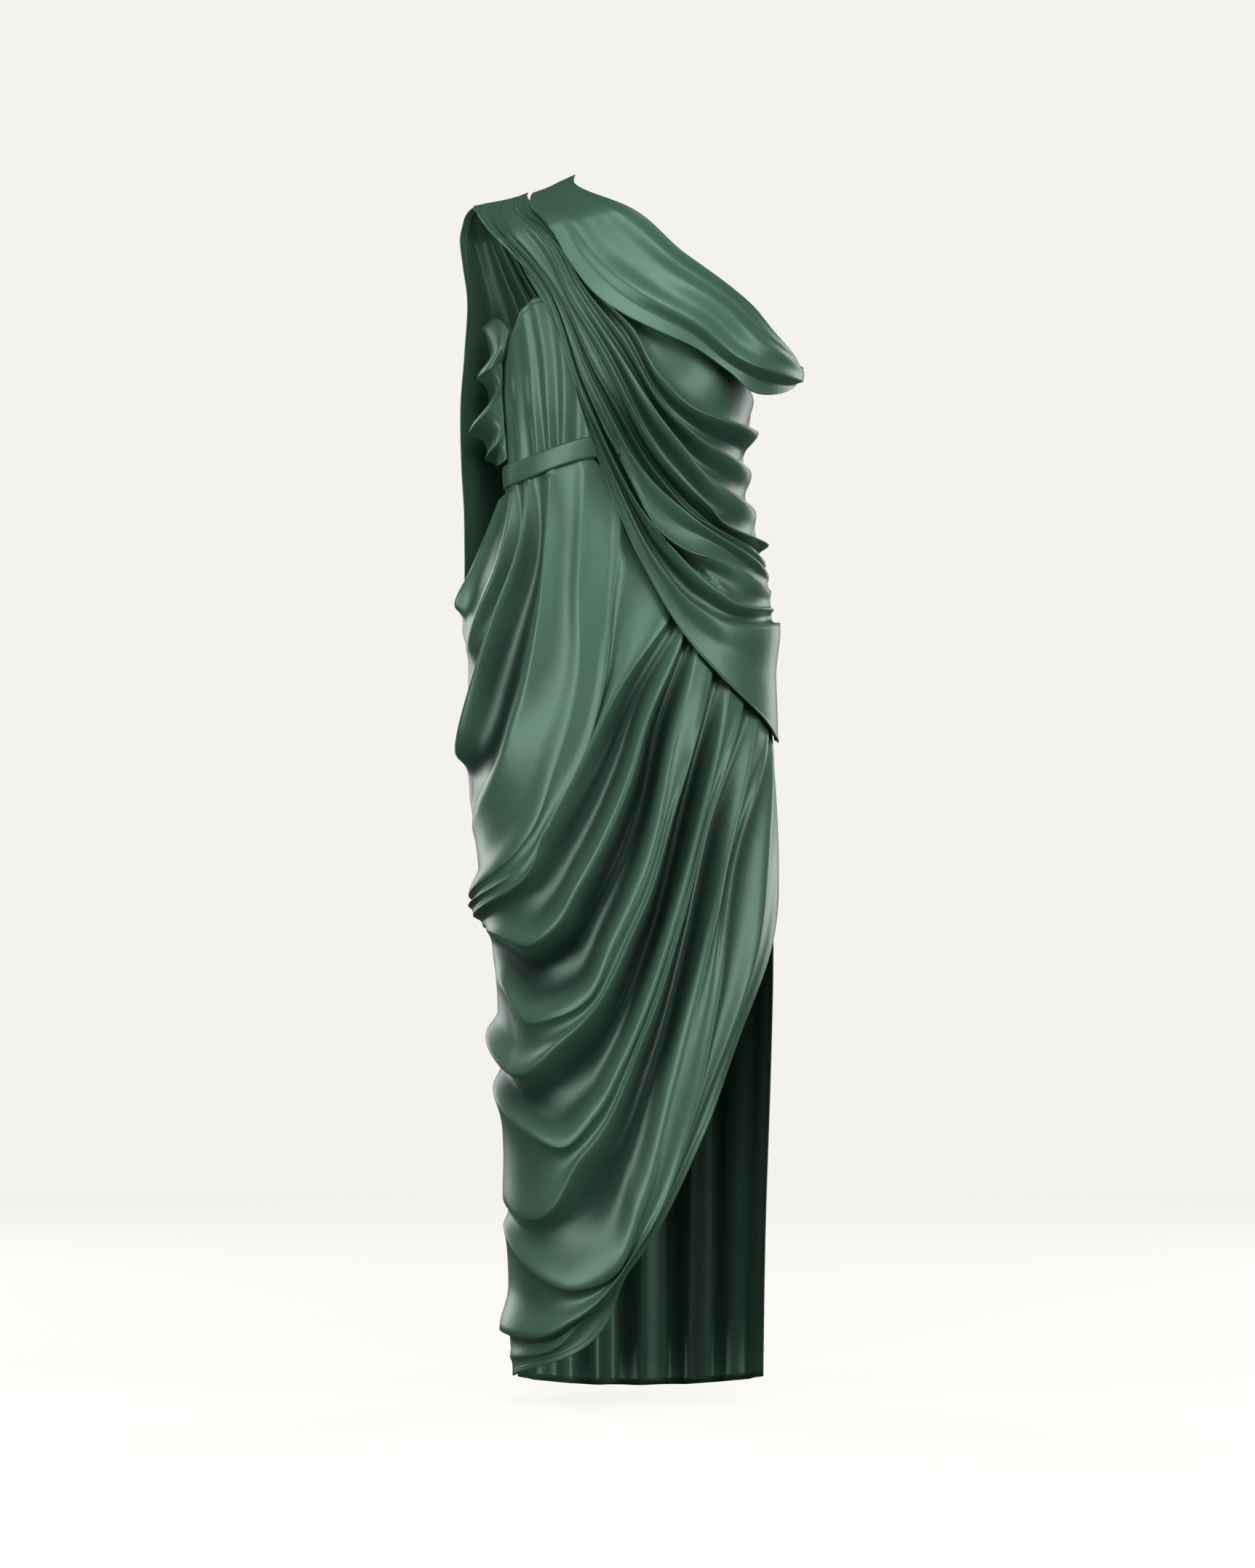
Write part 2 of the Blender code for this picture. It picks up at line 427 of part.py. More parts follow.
def satin(name):
    material = bpy.data.materials.new(name)
    material.use_nodes = True
    shader = material.node_tree.nodes["Principled BSDF"]
    shader.inputs["Base Color"].default_value = SATIN
    shader.inputs["Roughness"].default_value = SATIN_ROUGHNESS
    shader.inputs["Metallic"].default_value = 0.0
    return material


def cloth_wall(name, outer, inner):
    """One piece: a grid on the inner points, extruded to the outer ones."""
    rows, columns = outer.shape[:2]
    mesh = bmesh.new()
    place = mesh.verts.layers.int.new("place")
    bmesh.ops.create_grid(mesh, x_segments=columns - 1, y_segments=rows - 1, size=0.5)
    for vert in mesh.verts:
        column = round((vert.co.x + 0.5) * (columns - 1))
        row = round((vert.co.y + 0.5) * (rows - 1))
        vert[place] = row * columns + column
        vert.co = inner[row, column]
    copied = bmesh.ops.extrude_face_region(mesh, geom=mesh.faces[:], use_keep_orig=True)
    for vert in copied["geom"]:
        if isinstance(vert, bmesh.types.BMVert):
            vert.co = outer[vert[place] // columns, vert[place] % columns]
    for vert in mesh.verts:
        vert.co.x -= SHOULDER_POINT[0]
        vert.co.y -= SHOULDER_POINT[1]
        vert.co.z -= SHOULDER_POINT[2]
    bmesh.ops.recalc_face_normals(mesh, faces=mesh.faces[:])
    data = bpy.data.meshes.new(name)
    mesh.to_mesh(data)
    mesh.free()
    data.materials.append(satin(name + "_satin"))
    data.shade_smooth()
    piece = bpy.data.objects.new(name, data)
    bpy.context.scene.collection.objects.link(piece)
    return piece


def three_steps(lap):
    """Where a plain model reads the stretch between two folds: crest, valley and half way up."""
    return (0.0, lap, (1.0 + lap) / 2)


def two_steps(lap):
    return (0.0, lap)


def even_steps(columns, early=1.0):
    """Steps along a fold, closer together at the start where `early` is over 1."""
    return np.linspace(0.0, 1.0, columns) ** early


def panel(name, folds, columns, steps, early=1.0, back=False, seam=None, shoulder=0, waist=0):
    """One piece from its folds. waist is -1 where it ends at the waist seam and 1 where it starts there."""
    grid = laid_panel(folds, even_steps(columns, early), steps, back, seam)
    if waist:
        end = grid[:, 0] if waist > 0 else grid[:, -1]
        at_waist = np.abs(end[:, 1] - belt_drop(np.degrees(end[:, 0]))) < BELT_WIDTH / 2
        line = belt_drop(np.degrees(end[:, 0])) + waist * WAIST_GAP / 2
        end[:, 1] = np.where(at_waist, line, end[:, 1])
        grid = pressed_by_belt(grid)
    outer, way = on_form(grid, shoulder)
    return cloth_wall(name, outer, inner_side(outer, way))


def left_skirt_seam(drop):
    return column_of(SKIRT_SEAM_LIFT, 1, drop)


def collar_pieces():
    """The band's front, and its back, which mirrors it and meets it at the shoulder and the arm."""
    panel("collar_front", COLLAR, COLLAR_STEPS, three_steps, DRAPE_EARLY, seam=(FRONT_SEAM, None),
          shoulder=-1)
    folds = []
    for name, crest, valley, lap, points in COLLAR:
        behind = tuple(point for point in points if point[0] < BACK_COLLAR_REACH)
        folds.append((name, crest, valley, lap, behind + ((BACK_SEAM, points[-1][1]),)))
    panel("collar_back", folds, COLLAR_STEPS, three_steps, DRAPE_EARLY, back=True, shoulder=1)


def skirt_back():
    """The plain back, which hangs in soft flutes from the waist seam to the hem."""
    t = even_steps(SKIRT_BACK_STEPS, SKIRT_EARLY)
    lines = []
    for degrees, crest, valley, hem in SKIRT_BACK:
        top = belt_drop(degrees) + WAIST_GAP / 2
        drops = top + (hem - top) * t
        side = 2 if degrees < 180 else 1
        lift = spread(crest, t) if crest else column_of(SKIRT_SEAM_LIFT, side, drops)
        low = spread(valley, t) if valley else lift - SEAM_DIP * ease(4 * t)
        lines.append((np.stack([np.full_like(t, math.radians(degrees)), drops, lift], axis=1), low))
    rows = []
    for (line, low), (following, _) in zip(lines, lines[1:]):
        for u in (0.0, 0.25, 0.5, 0.75):
            row = line + (following - line) * u
            dip = math.sin(math.pi * u) ** 2
            row[:, 2] -= dip * np.maximum(row[:, 2] - low, 0.0)
            rows.append(row)
    rows.append(lines[-1][0])
    outer, way = on_form(pressed_by_belt(np.array(rows)))
    cloth_wall("skirt_back", outer, inner_side(outer, way))


def waist_tie():
    degrees = np.linspace(BELT_ENDS, BELT_ENDS + 360.0 - 2 * GAP_TURN, BELT_STEPS)
    read_at = np.where(degrees > BELT_LINE[-1][0], degrees - 360.0, degrees)
    rows = []
    for side in (-0.5, 0.0, 0.5):
        drops = belt_drop(read_at) + side * BELT_WIDTH
        rows.append(np.stack([np.radians(degrees), drops, np.full_like(drops, BELT_LIFT)], axis=1))
    outer, way = on_form(np.array(rows))
    cloth_wall("waist_tie", outer, inner_side(outer, way))


def build_gown():
    for old in list(bpy.data.objects):
        bpy.data.objects.remove(old, do_unlink=True)
    panel("front_drape", FRONT_DRAPE, DRAPE_STEPS, three_steps, DRAPE_EARLY,
          seam=(FRONT_SEAM, lambda drop: DRAPE_SEAM_LIFT), shoulder=-1)
    panel("back_drape", BACK_DRAPE, BACK_DRAPE_STEPS, two_steps, DRAPE_EARLY, back=True, shoulder=1)
    collar_pieces()
    panel("bodice_front", BODICE_FRONT, BODICE_STEPS, two_steps, waist=-1)
    panel("bodice_back", BODICE_BACK, BODICE_BACK_STEPS, two_steps, waist=-1)
    panel("side_flounce", SIDE_FLOUNCE, FLOUNCE_STEPS, three_steps,
          seam=(-SIDE_TURN, lambda drop: FLOUNCE_SEAM_LIFT))
    waist_tie()
    panel("skirt_front", SKIRT_FRONT, SKIRT_STEPS, three_steps, SKIRT_EARLY,
          seam=(-FRONT_SEAM, left_skirt_seam), waist=1)
    skirt_back()


build_gown()
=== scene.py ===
# %% [markdown]
# # A long one-shoulder dress in green satin
# This lesson builds a draped dress as a set of cloth sheets. A real one is cut flat, gathered at
# the shoulder, the side and the waist, and sewn. What we see of it is folds, so the lesson draws
# the folds first and lays the cloth over them.
# The solids of the same dress are loaded first. They give the place and the size of every piece.

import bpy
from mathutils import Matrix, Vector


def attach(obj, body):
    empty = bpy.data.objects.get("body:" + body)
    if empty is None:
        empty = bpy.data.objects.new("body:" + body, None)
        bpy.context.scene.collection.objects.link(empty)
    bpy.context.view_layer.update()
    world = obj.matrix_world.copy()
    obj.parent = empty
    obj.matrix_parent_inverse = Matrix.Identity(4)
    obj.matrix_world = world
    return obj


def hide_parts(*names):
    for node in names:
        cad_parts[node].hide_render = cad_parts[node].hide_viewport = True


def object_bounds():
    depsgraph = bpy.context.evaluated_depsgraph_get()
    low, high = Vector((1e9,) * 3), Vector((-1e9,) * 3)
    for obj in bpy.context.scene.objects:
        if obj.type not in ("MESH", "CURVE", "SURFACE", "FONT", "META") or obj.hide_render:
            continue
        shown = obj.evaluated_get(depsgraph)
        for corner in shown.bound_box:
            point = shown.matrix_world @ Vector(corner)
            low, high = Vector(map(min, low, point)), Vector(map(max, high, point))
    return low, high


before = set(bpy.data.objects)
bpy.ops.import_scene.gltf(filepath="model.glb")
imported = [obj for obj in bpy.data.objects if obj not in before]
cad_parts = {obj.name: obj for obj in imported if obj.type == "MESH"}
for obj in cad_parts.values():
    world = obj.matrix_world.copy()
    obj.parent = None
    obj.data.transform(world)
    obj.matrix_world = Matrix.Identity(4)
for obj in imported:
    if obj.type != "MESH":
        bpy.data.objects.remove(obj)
cad_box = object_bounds()
print("solids:", sorted(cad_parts))

# %% Tools for numbers and meshes
import math

import bmesh
import bpy
import mathutils
import numpy as np

# %% [markdown]
# ## The figure form
# A dressmaker drapes on a form. Ours is a table of level sections: how far each one is below the
# neck point, its half width on either side, and its depth in front and behind. Everything in this
# file is in metres. The front faces -Y, +X is the right of the picture and +Z is up.
# The cloth never touches the form as a piece. It only says where the cloth lies.

# %% The form, and the places that seams follow
FORM = (
    # drop, half width left, half width right, front depth, back depth
    (-0.005, 0.080, 0.070, 0.030, 0.028),
    (0.020, 0.150, 0.115, 0.048, 0.042),
    (0.040, 0.180, 0.140, 0.055, 0.050),
    (0.060, 0.182, 0.152, 0.060, 0.056),
    (0.100, 0.168, 0.158, 0.072, 0.068),
    (0.140, 0.152, 0.150, 0.088, 0.078),
    (0.200, 0.141, 0.138, 0.104, 0.088),
    (0.260, 0.138, 0.121, 0.112, 0.090),
    (0.330, 0.134, 0.112, 0.102, 0.086),
    (0.380, 0.132, 0.116, 0.100, 0.088),
    (0.430, 0.135, 0.130, 0.104, 0.096),
    (0.500, 0.145, 0.143, 0.110, 0.108),
    (0.600, 0.150, 0.150, 0.116, 0.118),
    (0.700, 0.148, 0.151, 0.120, 0.122),
    (0.800, 0.142, 0.151, 0.122, 0.124),
    (0.900, 0.135, 0.151, 0.122, 0.124),
    (1.000, 0.132, 0.149, 0.122, 0.124),
    (1.200, 0.126, 0.143, 0.120, 0.122),
    (1.400, 0.119, 0.139, 0.118, 0.120),
)
SHOULDER_POINT = (-0.125, 0.0, -0.021)  # the origin of the dress, seen from the neck point
SEAM_GAP = 0.0003  # between two pieces at a seam
SIDE_TURN = 101.0  # degrees from the middle front to a side seam
FORM_RADIUS = 0.15  # about how far the side of the form is from its axis
FORM_DEPTH = 0.085  # the least half depth of the form
GAP_TURN = math.degrees(SEAM_GAP / 2 / FORM_DEPTH)
FRONT_SEAM = SIDE_TURN - GAP_TURN
BACK_SEAM = SIDE_TURN + GAP_TURN
ROLL_DROP = 0.045  # the drop over which cloth turns over the top of the shoulder
LEAST_HIDDEN = 0.01  # the least length of a fold between the outline and its seam


def smooth_through(at, values, where):
    """A smooth line through the rows of a table, read at each place in `where`."""
    at = np.asarray(at, float)
    values = np.asarray(values, float)
    where = np.asarray(where, float)
    slopes = np.gradient(values, at, axis=0)
    row = np.clip(np.searchsorted(at, where, side="right") - 1, 0, len(at) - 2)
    step = at[row + 1] - at[row]
    u = np.clip((where - at[row]) / step, 0.0, 1.0)
    if values.ndim > 1:
        u = u[..., None]
        step = step[..., None]
    start = values[row] * (1 + 2 * u) * (1 - u) ** 2 + slopes[row] * step * u * (1 - u) ** 2
    end = values[row + 1] * u**2 * (3 - 2 * u) + slopes[row + 1] * step * u**2 * (u - 1)
    return start + end


def column_of(table, column, where):
    return smooth_through([row[0] for row in table], [row[column] for row in table], where)


def spread(values, t):
    """Values given at even steps along a line, read at t from 0 to 1."""
    return smooth_through(np.linspace(0.0, 1.0, len(values)), values, t)


def ease(u):
    u = np.clip(u, 0.0, 1.0)
    return u * u * (3 - 2 * u)


def form_size(angle, drop):
    """The form's half width and half depth on the side that this angle faces."""
    to_right = ease(0.5 + 2.0 * np.sin(angle))
    to_back = ease(0.5 - 2.0 * np.cos(angle))
    wide = column_of(FORM, 1, drop) * (1 - to_right) + column_of(FORM, 2, drop) * to_right
    deep = column_of(FORM, 3, drop) * (1 - to_back) + column_of(FORM, 4, drop) * to_back
    return wide, deep


def angle_of(place, drop, lift, back):
    """The angle round the form of a point given by x, or by degrees where the number is over 1."""
    if abs(place) > 1:
        return math.radians(place)
    half = float(column_of(FORM, 1 if place < 0 else 2, drop)) + lift
    angle = math.asin(max(-1.0, min(1.0, place / half)))
    return math.pi - angle if back else angle


print("form:", len(FORM), "sections, widest", 2000 * max(row[2] for row in FORM), "mm")

# %% [markdown]
# ## Fold lines
# A fold is a line along which the cloth stands highest. Each one is a short table row: its name,
# how far its crest and the valley beside it stand off the form at even steps along it, how much
# of the way to the next fold the fall takes, and a few points that it runs through.
# A panel is then laid from fold to fold. In satin the fall beside a fold is steep and often tucks
# back under it, so the points there are moved back a little, which gives the crisp dark edge.

# %% Lay a panel over its fold lines
def across(place, drop, back):
    """How far across the cloth a point lies: x in front, and the way round the form behind."""
    if back or abs(place) > 1:
        return FORM_RADIUS * angle_of(place, drop, 0.0, back)
    return place


def fold_line(points, lifts, t, back, seam):
    """Angle, drop and lift at each t along one fold, and the t where the seen part ends."""
    drops = np.array([drop for _, drop in points])
    steps = np.hypot(np.diff([across(*point, back) for point in points]), np.diff(drops))
    along = np.concatenate([[0.0], np.cumsum(steps)]) / steps.sum()
    lifts = spread(lifts, along)
    angles = np.array([angle_of(*point, lift, back) for point, lift in zip(points, lifts)])
    seen_to = 1.0
    if seam:
        turn, seam_lift = math.radians(seam[0]), seam[1]
        hidden = max(abs(turn - angles[-1]) * FORM_RADIUS, LEAST_HIDDEN) / steps.sum()
        seen_to = 1.0 / (1.0 + hidden)
        along = np.append(along * seen_to, 1.0)
        angles = np.append(angles, turn)
        drops = np.append(drops, drops[-1])
        lifts = np.append(lifts, seam_lift(drops[-1]) if seam_lift else lifts[-1])
    return smooth_through(along, np.stack([angles, drops, lifts], axis=1), t), seen_to


def laid_panel(folds, columns, early=1.0, back=False, seam=None,
               fall=7, rise=7, crisp=1.0, wide=1.0, tuck=0.0):
    """A grid of angle, drop and lift, and how far each point lies below the crests round it."""
    t = np.linspace(0.0, 1.0, columns) ** early
    lines = []
    for _, crest, valley, lap, points in folds:
        line, seen_to = fold_line(points, crest, t, back, seam)
        low = np.minimum(spread(valley or crest, np.minimum(t / seen_to, 1.0)), line[:, 2])
        if seen_to < 1.0:
            low = low + (line[:, 2] - low) * ease((t - seen_to) / (1.0 - seen_to))
        lines.append((line, low, lap))
    rows, depths = [], []
    for (line, low, lap), (following, _, _) in zip(lines, lines[1:]):
        falling = np.linspace(0.0, lap, fall, endpoint=False)
        rising = np.linspace(lap, 1.0, rise, endpoint=False)
        for u in np.concatenate([falling, rising]):
            share = u / lap
            place = u - tuck * lap * math.sin(math.pi * min(share, 1.0))
            row = line + (following - line) * place
            if u < lap:
                row[:, 2] = low + (line[:, 2] - low) * (1.0 - ease(share)) ** crisp
            else:
                row[:, 2] = low + (following[:, 2] - low) * ease((u - lap) / (1 - lap)) ** wide
            rows.append(row)
            depths.append(line[:, 2] * (1 - u) + following[:, 2] * u - row[:, 2])
    rows.append(lines[-1][0])
    depths.append(np.zeros_like(t))
    return np.array(rows), np.array(depths)


def on_form(grid, shoulder=0):
    """The points of a grid of angle, drop and lift, and the way out of the form at each."""
    angle, drop, lift = grid[..., 0], grid[..., 1], grid[..., 2]
    wide, deep = form_size(angle, drop)
    out = np.stack([np.sin(angle) / wide, -np.cos(angle) / deep], axis=-1)
    out /= np.linalg.norm(out, axis=-1, keepdims=True)
    roll = np.ones_like(drop)
    if shoulder:
        past = (drop - drop[:, :1]) / ROLL_DROP
        roll = np.sin(np.clip(past, 0.0, 1.0) * math.pi / 2)
    x = wide * np.sin(angle) + lift * out[..., 0]
    y = (-deep * np.cos(angle) + lift * out[..., 1]) * roll + shoulder * SEAM_GAP / 2 * (1 - roll)
    way = np.stack([out[..., 0] * roll, out[..., 1] * roll, 1.0 - roll], axis=-1)
    way /= np.linalg.norm(way, axis=-1, keepdims=True)
    return np.stack([x, y, -drop], axis=-1), way


# %% [markdown]
# ## Creases
# Between the main folds a worn dress has many smaller ones: pleats that run out, pulls towards a
# gather, hollows that end in a point. Each is a row of a table again. A ridge or a trough is
# round. A pleat has a crisp edge on one side, with a dark pocket beyond it, and rises slowly to
# that edge on the other. A crease fades out at both of its ends.

# %% Raise and sink the cloth along a crease
CREASE_SAMPLES = 60


def crease_lift(x, drop, width, kind, points, fade):
    """The share of a crease's height at each point of a panel, from its line across the picture."""
    points = np.array(points) / 1000.0
    steps = np.hypot(*np.diff(points, axis=0).T)
    along = np.concatenate([[0.0], np.cumsum(steps)]) / steps.sum()
    t = np.linspace(0.0, 1.0, CREASE_SAMPLES)
    line = smooth_through(along, points, t)
    tangent = np.gradient(line, axis=0)
    tangent /= np.linalg.norm(tangent, axis=1, keepdims=True)
    gap = np.stack([x, drop], axis=-1)[..., None, :] - line
    far = np.linalg.norm(gap, axis=-1)
    nearest = far.argmin(axis=-1)
    near = np.take_along_axis(gap, nearest[..., None, None], axis=-2)[..., 0, :]
    # The side is positive on the right hand of somebody who walks along the line on the picture.
    side = near[..., 1] * tangent[nearest, 0] - near[..., 0] * tangent[nearest, 1]
    away = far.min(axis=-1) / width
    ends = ease(t[nearest] / fade[0]) if fade[0] else 1.0
    ends = ends * (ease((1.0 - t[nearest]) / fade[1]) if fade[1] else 1.0)
    if kind == "round":
        return ends * np.exp(-away**2)
    away = np.where(side < 0, -away, away)
    before = np.exp(-np.minimum(away, 0.0) ** 2)
    after = 1.0 - 1.7 * ease(away / 0.4) + 0.7 * ease((away - 0.4) / 1.4)
    return ends * np.where(away < 0, before, after)


def creased(grid, depths, creases, shoulder=0):
    """The grid with its creases, and the depths with what they sink."""
    points, _ = on_form(grid, shoulder)
    lift = np.zeros_like(depths)
    for _, height, width, kind, fade, line in creases:
        lift += height * crease_lift(points[..., 0], grid[..., 1], width, kind, line, fade)
    grid[..., 2] += lift
    return grid, depths - np.minimum(lift, 0.0)


# %% [markdown]
# ## From a grid to cloth
# A sheet starts as one flat grid. Each of its points is then moved to its place on the folds, so
# the mesh stays a clean net of squares that follows the folds. It also gets a UV map in metres of
# cloth, along and across, for the weave, and two values a point: how deep it lies in a fold, and
# how far it is from the hem. The finish reads those, and paints shade into the colour by the depth.
# The Solidify modifier gives it its thickness on the inside, so that the outside stays where it was laid.

# %% Make a sheet of cloth
CLOTH_THICKNESS = 0.0009
FAR_FROM_HEM = 1.0
satin_pieces = []


def running_length(points, axis):
    """How far along the cloth each point is, measured in one direction of the grid."""
    steps = np.linalg.norm(np.diff(points, axis=axis), axis=-1)
    start = np.zeros_like(np.take(steps, [0], axis=axis))
    return np.concatenate([start, np.cumsum(steps, axis=axis)], axis=axis)


def hem_distance(points, hems):
    """How far each point is from the nearest of the sheet's hemmed sides."""
    down, along = running_length(points, 0), running_length(points, 1)
    sides = {"first": down, "last": down[-1:] - down, "start": along, "end": along[:, -1:] - along}
    far = np.full(down.shape, FAR_FROM_HEM)
    for side in hems:
        far = np.minimum(far, sides[side])
    return far


def cloth_sheet(name, points, way, depths, hems=(), thickness=CLOTH_THICKNESS):
    rows, columns = points.shape[:2]
    mesh = bmesh.new()
    # The depth in a fold, kept for the painted shade that the finish darkens the folds with.
    painted_shade_depth = mesh.verts.layers.float.new("painted_shade_depth")
    hem = mesh.verts.layers.float.new("hem_distance")
    weave = mesh.loops.layers.uv.new("weave")
    bmesh.ops.create_grid(mesh, x_segments=columns - 1, y_segments=rows - 1, size=0.5)
    down, along, to_hem = running_length(points, 0), running_length(points, 1), hem_distance(points, hems)
    placed = points - np.array(SHOULDER_POINT)
    facing, lengths = 0.0, {}
    for vert in mesh.verts:
        column = round((vert.co.x + 0.5) * (columns - 1))
        row = round((vert.co.y + 0.5) * (rows - 1))
        vert.co = placed[row, column]
        vert[painted_shade_depth] = float(depths[row, column])
        vert[hem] = float(to_hem[row, column])
        lengths[vert] = (float(along[row, column]), float(down[row, column]))
        vert.normal = way[row, column]
    for face in mesh.faces:
        way_out = sum((vert.normal for vert in face.verts), face.normal * 0.0)
        face.normal_update()
        facing += face.normal.dot(way_out)
        for loop in face.loops:
            loop[weave].uv = lengths[loop.vert]
    if facing < 0:
        bmesh.ops.reverse_faces(mesh, faces=mesh.faces[:])
    data = bpy.data.meshes.new(name)
    mesh.to_mesh(data)
    mesh.free()
    data.shade_smooth()
    piece = bpy.data.objects.new(name, data)
    bpy.context.scene.collection.objects.link(piece)
    wall = piece.modifiers.new("thickness", "SOLIDIFY")
    wall.thickness = thickness
    wall.offset = -1.0
    wall.use_even_offset = False
    satin_pieces.append(piece)
    area = sum(face.area for face in data.polygons)
    print(name, "has", len(data.polygons), "squares and", round(area, 4), "square metres of cloth,",
          round(float(down[-1].mean()), 3), "by", round(float(along[:, -1].mean()), 3), "m")
    return piece


def sewn_in(piece, node):
    """The cloth takes the place of its solid, and rides with the dress."""
    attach(piece, "root")
    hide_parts(node)


# %% [markdown]
# ## The front drape
# This is the sash that crosses the chest. It is gathered into the strap on one shoulder and again
# all down the other side seam, so its folds fan out from the strap, bend across the chest and
# draw together. The first row below is its free lower edge, and the last one lies under the band.

# %% The front drape
FRONT_DRAPE = (
    # name, crest lifts, valley lifts, share of the fall, points of (x, drop)
    ("free_edge", (0.010, 0.018, 0.022, 0.022, 0.018), (0.008, 0.016, 0.018, 0.020, 0.020), 0.5,
     ((-0.176, 0.035), (-0.146, 0.065), (-0.116, 0.120), (-0.089, 0.166), (-0.036, 0.321), (0.017, 0.443),
      (0.090, 0.550), (0.144, 0.603), (0.167, 0.633))),
    ("sash_fold", (0.010, 0.020, 0.022, 0.030, 0.028), (0.008, 0.018, 0.020, 0.016, 0.014), 0.4,
     ((-0.169, 0.034), (-0.111, 0.121), (-0.062, 0.238), (-0.002, 0.377), (0.034, 0.441), (0.081, 0.490),
      (0.144, 0.510), (0.170, 0.506))),
    ("low_swag", (0.010, 0.024, 0.030, 0.036, 0.024), (0.008, 0.016, 0.016, 0.015, 0.018), 0.3,
     ((-0.161, 0.032), (-0.106, 0.121), (-0.055, 0.246), (0.011, 0.377), (0.051, 0.425), (0.106, 0.472),
      (0.131, 0.488), (0.162, 0.490))),
    ("mid_swag_rim", (0.010, 0.022, 0.026, 0.034, 0.026), (0.008, 0.020, 0.022, 0.030, 0.018), 0.5,
     ((-0.156, 0.031), (-0.103, 0.120), (-0.050, 0.242), (0.010, 0.363), (0.034, 0.404), (0.071, 0.428),
      (0.120, 0.441), (0.156, 0.466))),
    ("mid_swag", (0.010, 0.026, 0.032, 0.040, 0.022), (0.008, 0.016, 0.015, 0.016, 0.016), 0.3,
     ((-0.151, 0.030), (-0.101, 0.118), (-0.039, 0.246), (0.020, 0.344), (0.057, 0.377), (0.120, 0.420),
      (0.159, 0.456))),
    ("inner_ridge", (0.010, 0.018, 0.022, 0.024, 0.022), (0.008, 0.015, 0.015, 0.016, 0.016), 0.5,
     ((-0.143, 0.029), (-0.098, 0.115), (-0.032, 0.238), (0.034, 0.344), (0.079, 0.390), (0.124, 0.414),
      (0.160, 0.441))),
    ("high_swag", (0.010, 0.026, 0.034, 0.040, 0.032), (0.008, 0.020, 0.018, 0.020, 0.016), 0.3,
     ((-0.130, 0.025), (-0.108, 0.072), (-0.070, 0.145), (-0.033, 0.201), (0.029, 0.312), (0.092, 0.377),
      (0.125, 0.405), (0.158, 0.418))),
    ("side_fold_1", (0.010, 0.024, 0.028, 0.034, 0.026), (0.008, 0.020, 0.016, 0.016, 0.016), 0.4,
     ((-0.125, 0.023), (-0.098, 0.075), (-0.059, 0.139), (-0.021, 0.195), (0.059, 0.308), (0.099, 0.350),
      (0.150, 0.385))),
    ("side_fold_2", (0.010, 0.024, 0.030, 0.034, 0.026), (0.008, 0.018, 0.016, 0.018, 0.014), 0.4,
     ((-0.122, 0.022), (-0.092, 0.076), (-0.050, 0.138), (-0.011, 0.185), (0.059, 0.285), (0.110, 0.318),
      (0.140, 0.341))),
    ("side_fold_3", (0.010, 0.022, 0.026, 0.034, 0.030), (0.008, 0.018, 0.016, 0.018, 0.018), 0.4,
     ((-0.120, 0.021), (-0.088, 0.075), (-0.043, 0.136), (0.001, 0.176), (0.040, 0.238), (0.091, 0.276),
      (0.147, 0.294))),
    ("top", (0.010, 0.018, 0.020, 0.020, 0.020), (), 0.5,
     ((-0.1178, 0.020), (-0.1088, 0.039), (-0.084, 0.076), (-0.034, 0.132), (0.034, 0.168), (0.087, 0.195),
      (0.124, 0.232), (0.141, 0.258))),
)
DRAPE_SEAM_LIFT = 0.017
FRONT_DRAPE_CREASES = (
    # name, height, width, kind, fade at each end, points of (x, drop) in millimetres
    ("strip_line_b", 0.003, 0.006, "pleat", (0.1, 0.2),
     ((-38, 279), (-5, 330), (22, 396), (50, 425), (77, 448), (106, 472), (130, 492))),
)

grid, depths = laid_panel(FRONT_DRAPE, 250, 1.2, seam=(FRONT_SEAM, lambda drop: DRAPE_SEAM_LIFT),
                          fall=7, rise=8, crisp=1.3, wide=1.0, tuck=0.45)
grid, depths = creased(grid, depths, FRONT_DRAPE_CREASES, shoulder=-1)
points, way = on_form(grid, shoulder=-1)
front_drape = cloth_sheet("front_drape_cloth", points, way, depths, hems=("first",))
sewn_in(front_drape, "front_drape")

# %% [markdown]
# ## The back drape
# The photo doesn't show the back, only the inside of this piece beyond the open armhole. It falls
# from the strap as a plain layer, with soft folds that run from the shoulder to the other hip.

